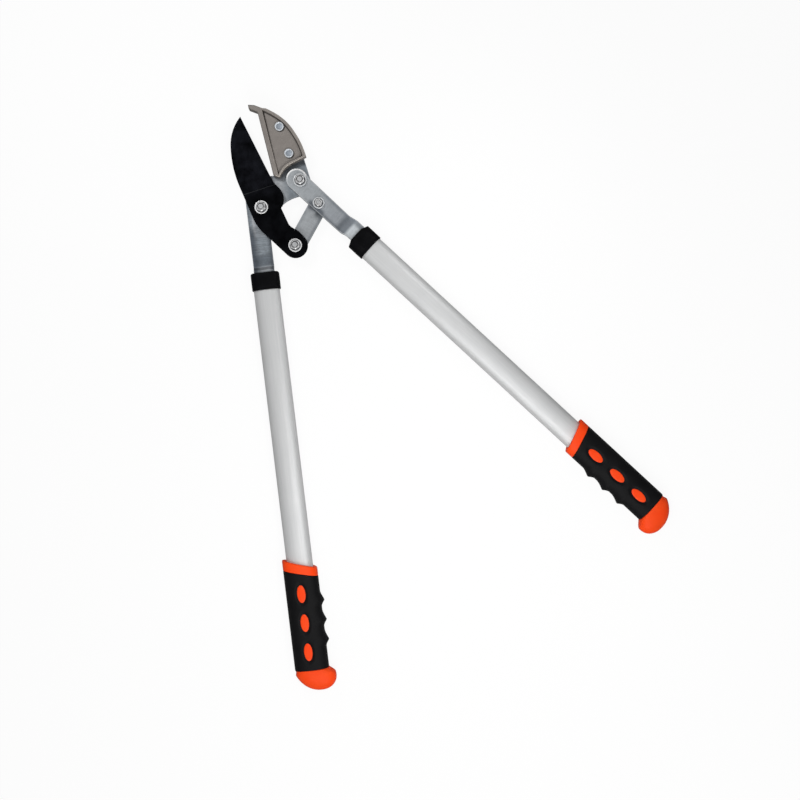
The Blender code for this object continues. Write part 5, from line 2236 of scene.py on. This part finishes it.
    def cover(self, tube: Tube) -> Solid:
        """Build the soft cover, dished round its windows.

        Args:
            tube: the tube inside the core.

        Returns:
            The cover.
        """
        made = Solid()
        clear = self.core_wall + 2 * GAP
        start, end = self.band + self.fit, self.length - self.fit
        rows = [self.bore(start, self.cover_slope, tube, clear)]
        rows += [self.full(start + s, self.lean(start + s), sunk) for sunk, s in self.cover_edge]
        edge = self.cover_edge[-1][1]
        for i in range(1, self.stations):
            s = start + edge + (end - start - 2 * edge) * i / self.stations
            ring = self.full(s, self.lean(s), ridge=self.ridge_at(s))
            for point in ring:
                off = self.window_off(point.x, -point.y)
                if off < self.dish_reach and abs(point.z) > self.dish_above:
                    dip = self.window_dish * ease((self.dish_reach - off) / self.dish_fade)
                    point.z -= math.copysign(dip, point.z)
            rows.append(ring)
        rows += [self.full(end - s, 0.0, sunk) for sunk, s in reversed(self.cover_edge)]
        rows.append(self.bore(end, 0.0, tube, clear))
        rings = [made.ring([tuple(point) for point in row]) for row in rows]
        made.skin(rings + rings[:1])
        return made


@dataclass(frozen=True)
class Handle:
    """Everything below one arm: collar, tube and grip."""

    side: str
    body: Body
    axes: Matrix
    axis_x: float
    collar: Collar
    grip: Grip
    tube: Tube = Tube()

    def build(self) -> None:
        """Add the handle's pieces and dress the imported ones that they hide."""
        place = self.axes @ Matrix.Translation((self.axis_x, 0.0, LAYOUT.handle))
        start = self.collar.end - self.collar.length + LAYOUT.web + GAP
        head = self.collar.end + self.tube.shown
        add_piece(self.collar.solid(self.tube), f"{self.side}_collar_moulding", COLLAR_PLASTIC, self.body,
                  place, [f"{self.side}_collar"])
        add_piece(self.tube.solid(start, head + self.tube.in_grip), f"{self.side}_tube_satin", SATIN,
                  self.body, place, [f"{self.side}_tube"])
        place = place @ Matrix.Translation((0.0, -head, 0.0))
        add_piece(self.grip.core(self.tube).move(place), f"{self.side}_grip_core_moulding", ORANGE, self.body,
                  Matrix(), [f"{self.side}_grip_core"])
        add_piece(self.grip.cover(self.tube).move(place), f"{self.side}_grip_cover_moulding", RUBBER,
                  self.body, Matrix(), [f"{self.side}_grip_cover"], sharp=60.0)
        redress(f"{self.side}_tang_insert", COLLAR_PLASTIC)
        redress(f"{self.side}_tang_pin", ZINC)


# Studio

@dataclass(frozen=True)
class Lamp:
    """A square soft light."""

    name: str
    place: Place
    aim: Place
    size: float
    power: float

    def build(self) -> None:
        """Add the light."""
        light = bpy.data.lights.new(self.name, 'AREA')
        light.size = self.size
        light.energy = self.power
        obj = bpy.data.objects.new(self.name, light)
        obj.location = self.place
        obj.rotation_euler = (Vector(self.aim) - Vector(self.place)).to_track_quat('-Z', 'Y').to_euler()
        bpy.context.scene.collection.objects.link(obj)


@dataclass(frozen=True)
class Studio:
    """Floor, lights, world and camera."""

    camera_place: Place = (0.0871, -0.2751, 1.3467)
    roll: float = math.radians(-6.883)
    lens: float = 50.0
    sensor: float = 36.0
    floor_size: float = 8.0
    floor_drop: float = 0.0004
    floor_grey: Colour = (0.50, 0.50, 0.50)
    floor_glow: float = 0.92
    world_level: float = 0.32
    horizon: float = 0.35
    horizon_tint: float = 1.03
    horizon_band: Point = (-0.1, 0.75)
    lamps: tuple = (
        Lamp("head_light", (-0.22, 0.24, 0.50), (-0.02, 0.00, 0.0), size=0.14, power=0.97),
        Lamp("collar_light", (0.24, -0.02, 0.24), (0.10, -0.11, 0.0), size=0.12, power=0.17),
        Lamp("grip_light", (0.12, -0.42, 0.50), (0.14, -0.38, 0.0), size=0.30, power=1.0),
        Lamp("low_light", (0.10, -1.20, 1.00), (0.10, -0.30, 0.0), size=0.80, power=6.8),
    )

    def floor(self) -> None:
        """Add the white floor, which keeps a faint shadow of the tool."""
        mesh = bmesh.new()
        bmesh.ops.create_grid(mesh, x_segments=8, y_segments=8, size=self.floor_size / 2)
        data = bpy.data.meshes.new("floor")
        mesh.to_mesh(data)
        mesh.free()
        obj = bpy.data.objects.new("floor", data)
        obj.location = (0.0, 0.0, -self.floor_drop)
        bpy.context.scene.collection.objects.link(obj)
        made = bpy.data.materials.new("floor_white")
        made.use_nodes = True
        made.node_tree.nodes.clear()
        graph = Graph(made.node_tree)
        seen = graph.node("ShaderNodeLightPath", {}, {}, "Is Camera Ray")
        colour = graph.mix(seen, self.floor_grey, WHITE)
        diffuse = graph.node("ShaderNodeBsdfDiffuse", {}, {"Color": colour})
        glow = graph.node("ShaderNodeEmission", {}, {"Color": WHITE, "Strength": 1.0})
        mixed = graph.node("ShaderNodeMixShader", {}, {0: seen * self.floor_glow, 1: diffuse, 2: glow})
        output = made.node_tree.nodes.new("ShaderNodeOutputMaterial")
        graph.feed(output.inputs["Surface"], mixed)
        data.materials.append(made)

    def world(self) -> None:
        """Set the world: white to the camera, darker low down to reflections and light."""
        world = bpy.data.worlds.new("studio")
        world.use_nodes = True
        bpy.context.scene.world = world
        graph = Graph(world.node_tree)
        background = world.node_tree.nodes["Background"]
        ray = graph.node("ShaderNodeTexCoord", {}, {}, "Generated")
        up = graph.step(graph.part_of(ray, "Z"), *self.horizon_band)
        level, low = self.world_level, self.world_level * self.horizon
        soft = graph.mix(up, (low, low, low * self.horizon_tint), (level, level, level))
        seen = graph.node("ShaderNodeLightPath", {}, {}, "Is Camera Ray")
        graph.feed(background.inputs["Color"], graph.mix(seen, soft, WHITE))

    def camera(self) -> None:
        """Add the camera, straight above the tool."""
        data = bpy.data.cameras.new("camera")
        data.lens = self.lens
        data.sensor_width = self.sensor
        obj = bpy.data.objects.new("camera", data)
        obj.location = self.camera_place
        obj.rotation_euler = (0.0, 0.0, self.roll)
        bpy.context.scene.collection.objects.link(obj)
        bpy.context.scene.camera = obj

    def build(self) -> None:
        """Set the whole stage."""
        self.floor()
        for lamp in self.lamps:
            lamp.build()
        self.world()
        self.camera()
        bpy.context.scene.view_settings.view_transform = 'Standard'


ANVIL_SIDE_X = -0.0558
LEVER_SIDE_X = -0.0019


def main() -> None:
    """Build and dress the tool, piece by piece, and set the stage."""
    logging.basicConfig(level=logging.INFO, format="%(message)s")
    anvil = Anvil()
    anvil_collar = Collar(end=0.1252, length=0.0210, shoulder=(0.0010, 0.0008))
    lever_collar = Collar(end=0.1170, length=0.0238, shoulder=(0.0030, 0.0058))
    anvil.build()
    AnvilArm(anvil, anvil_collar, ANVIL_SIDE_X).build()
    MAIN.build("main_pivot", (0.0, 0.0), Matrix(), Body.ANVIL)
    LARGE.build("blade_pivot", (0.0, 0.0), LAYOUT.blade, Body.ANVIL)
    LeverArm(lever_collar, LEVER_SIDE_X).build()
    SMALL.build("lever_link", LAYOUT.link_at_lever, LAYOUT.lever, Body.LEVER)
    Blade(anvil).build()
    LARGE.build("blade_link", LAYOUT.link_at_blade, LAYOUT.blade, Body.BLADE)
    Link().build()
    Handle("anvil_side", Body.ANVIL, Matrix(), ANVIL_SIDE_X, anvil_collar,
           Grip(inner_side=1, window_x=-0.0013, outer=0.0208, inner=0.0202, cap_start=-0.0003,
                cap_sweep=0.0092, cap_rise=0.24, ridge=0.0039)).build()
    Handle("lever_side", Body.LEVER, LAYOUT.lever, LEVER_SIDE_X, lever_collar,
           Grip(inner_side=-1, window_x=0.0010, outer=0.0204, inner=0.0208, cap_bulge=0.0046,
                cap_start=0.0003, cap_sweep=0.0088, ridge=0.0039)).build()
    Studio().build()


if __name__ == "__main__":
    main()
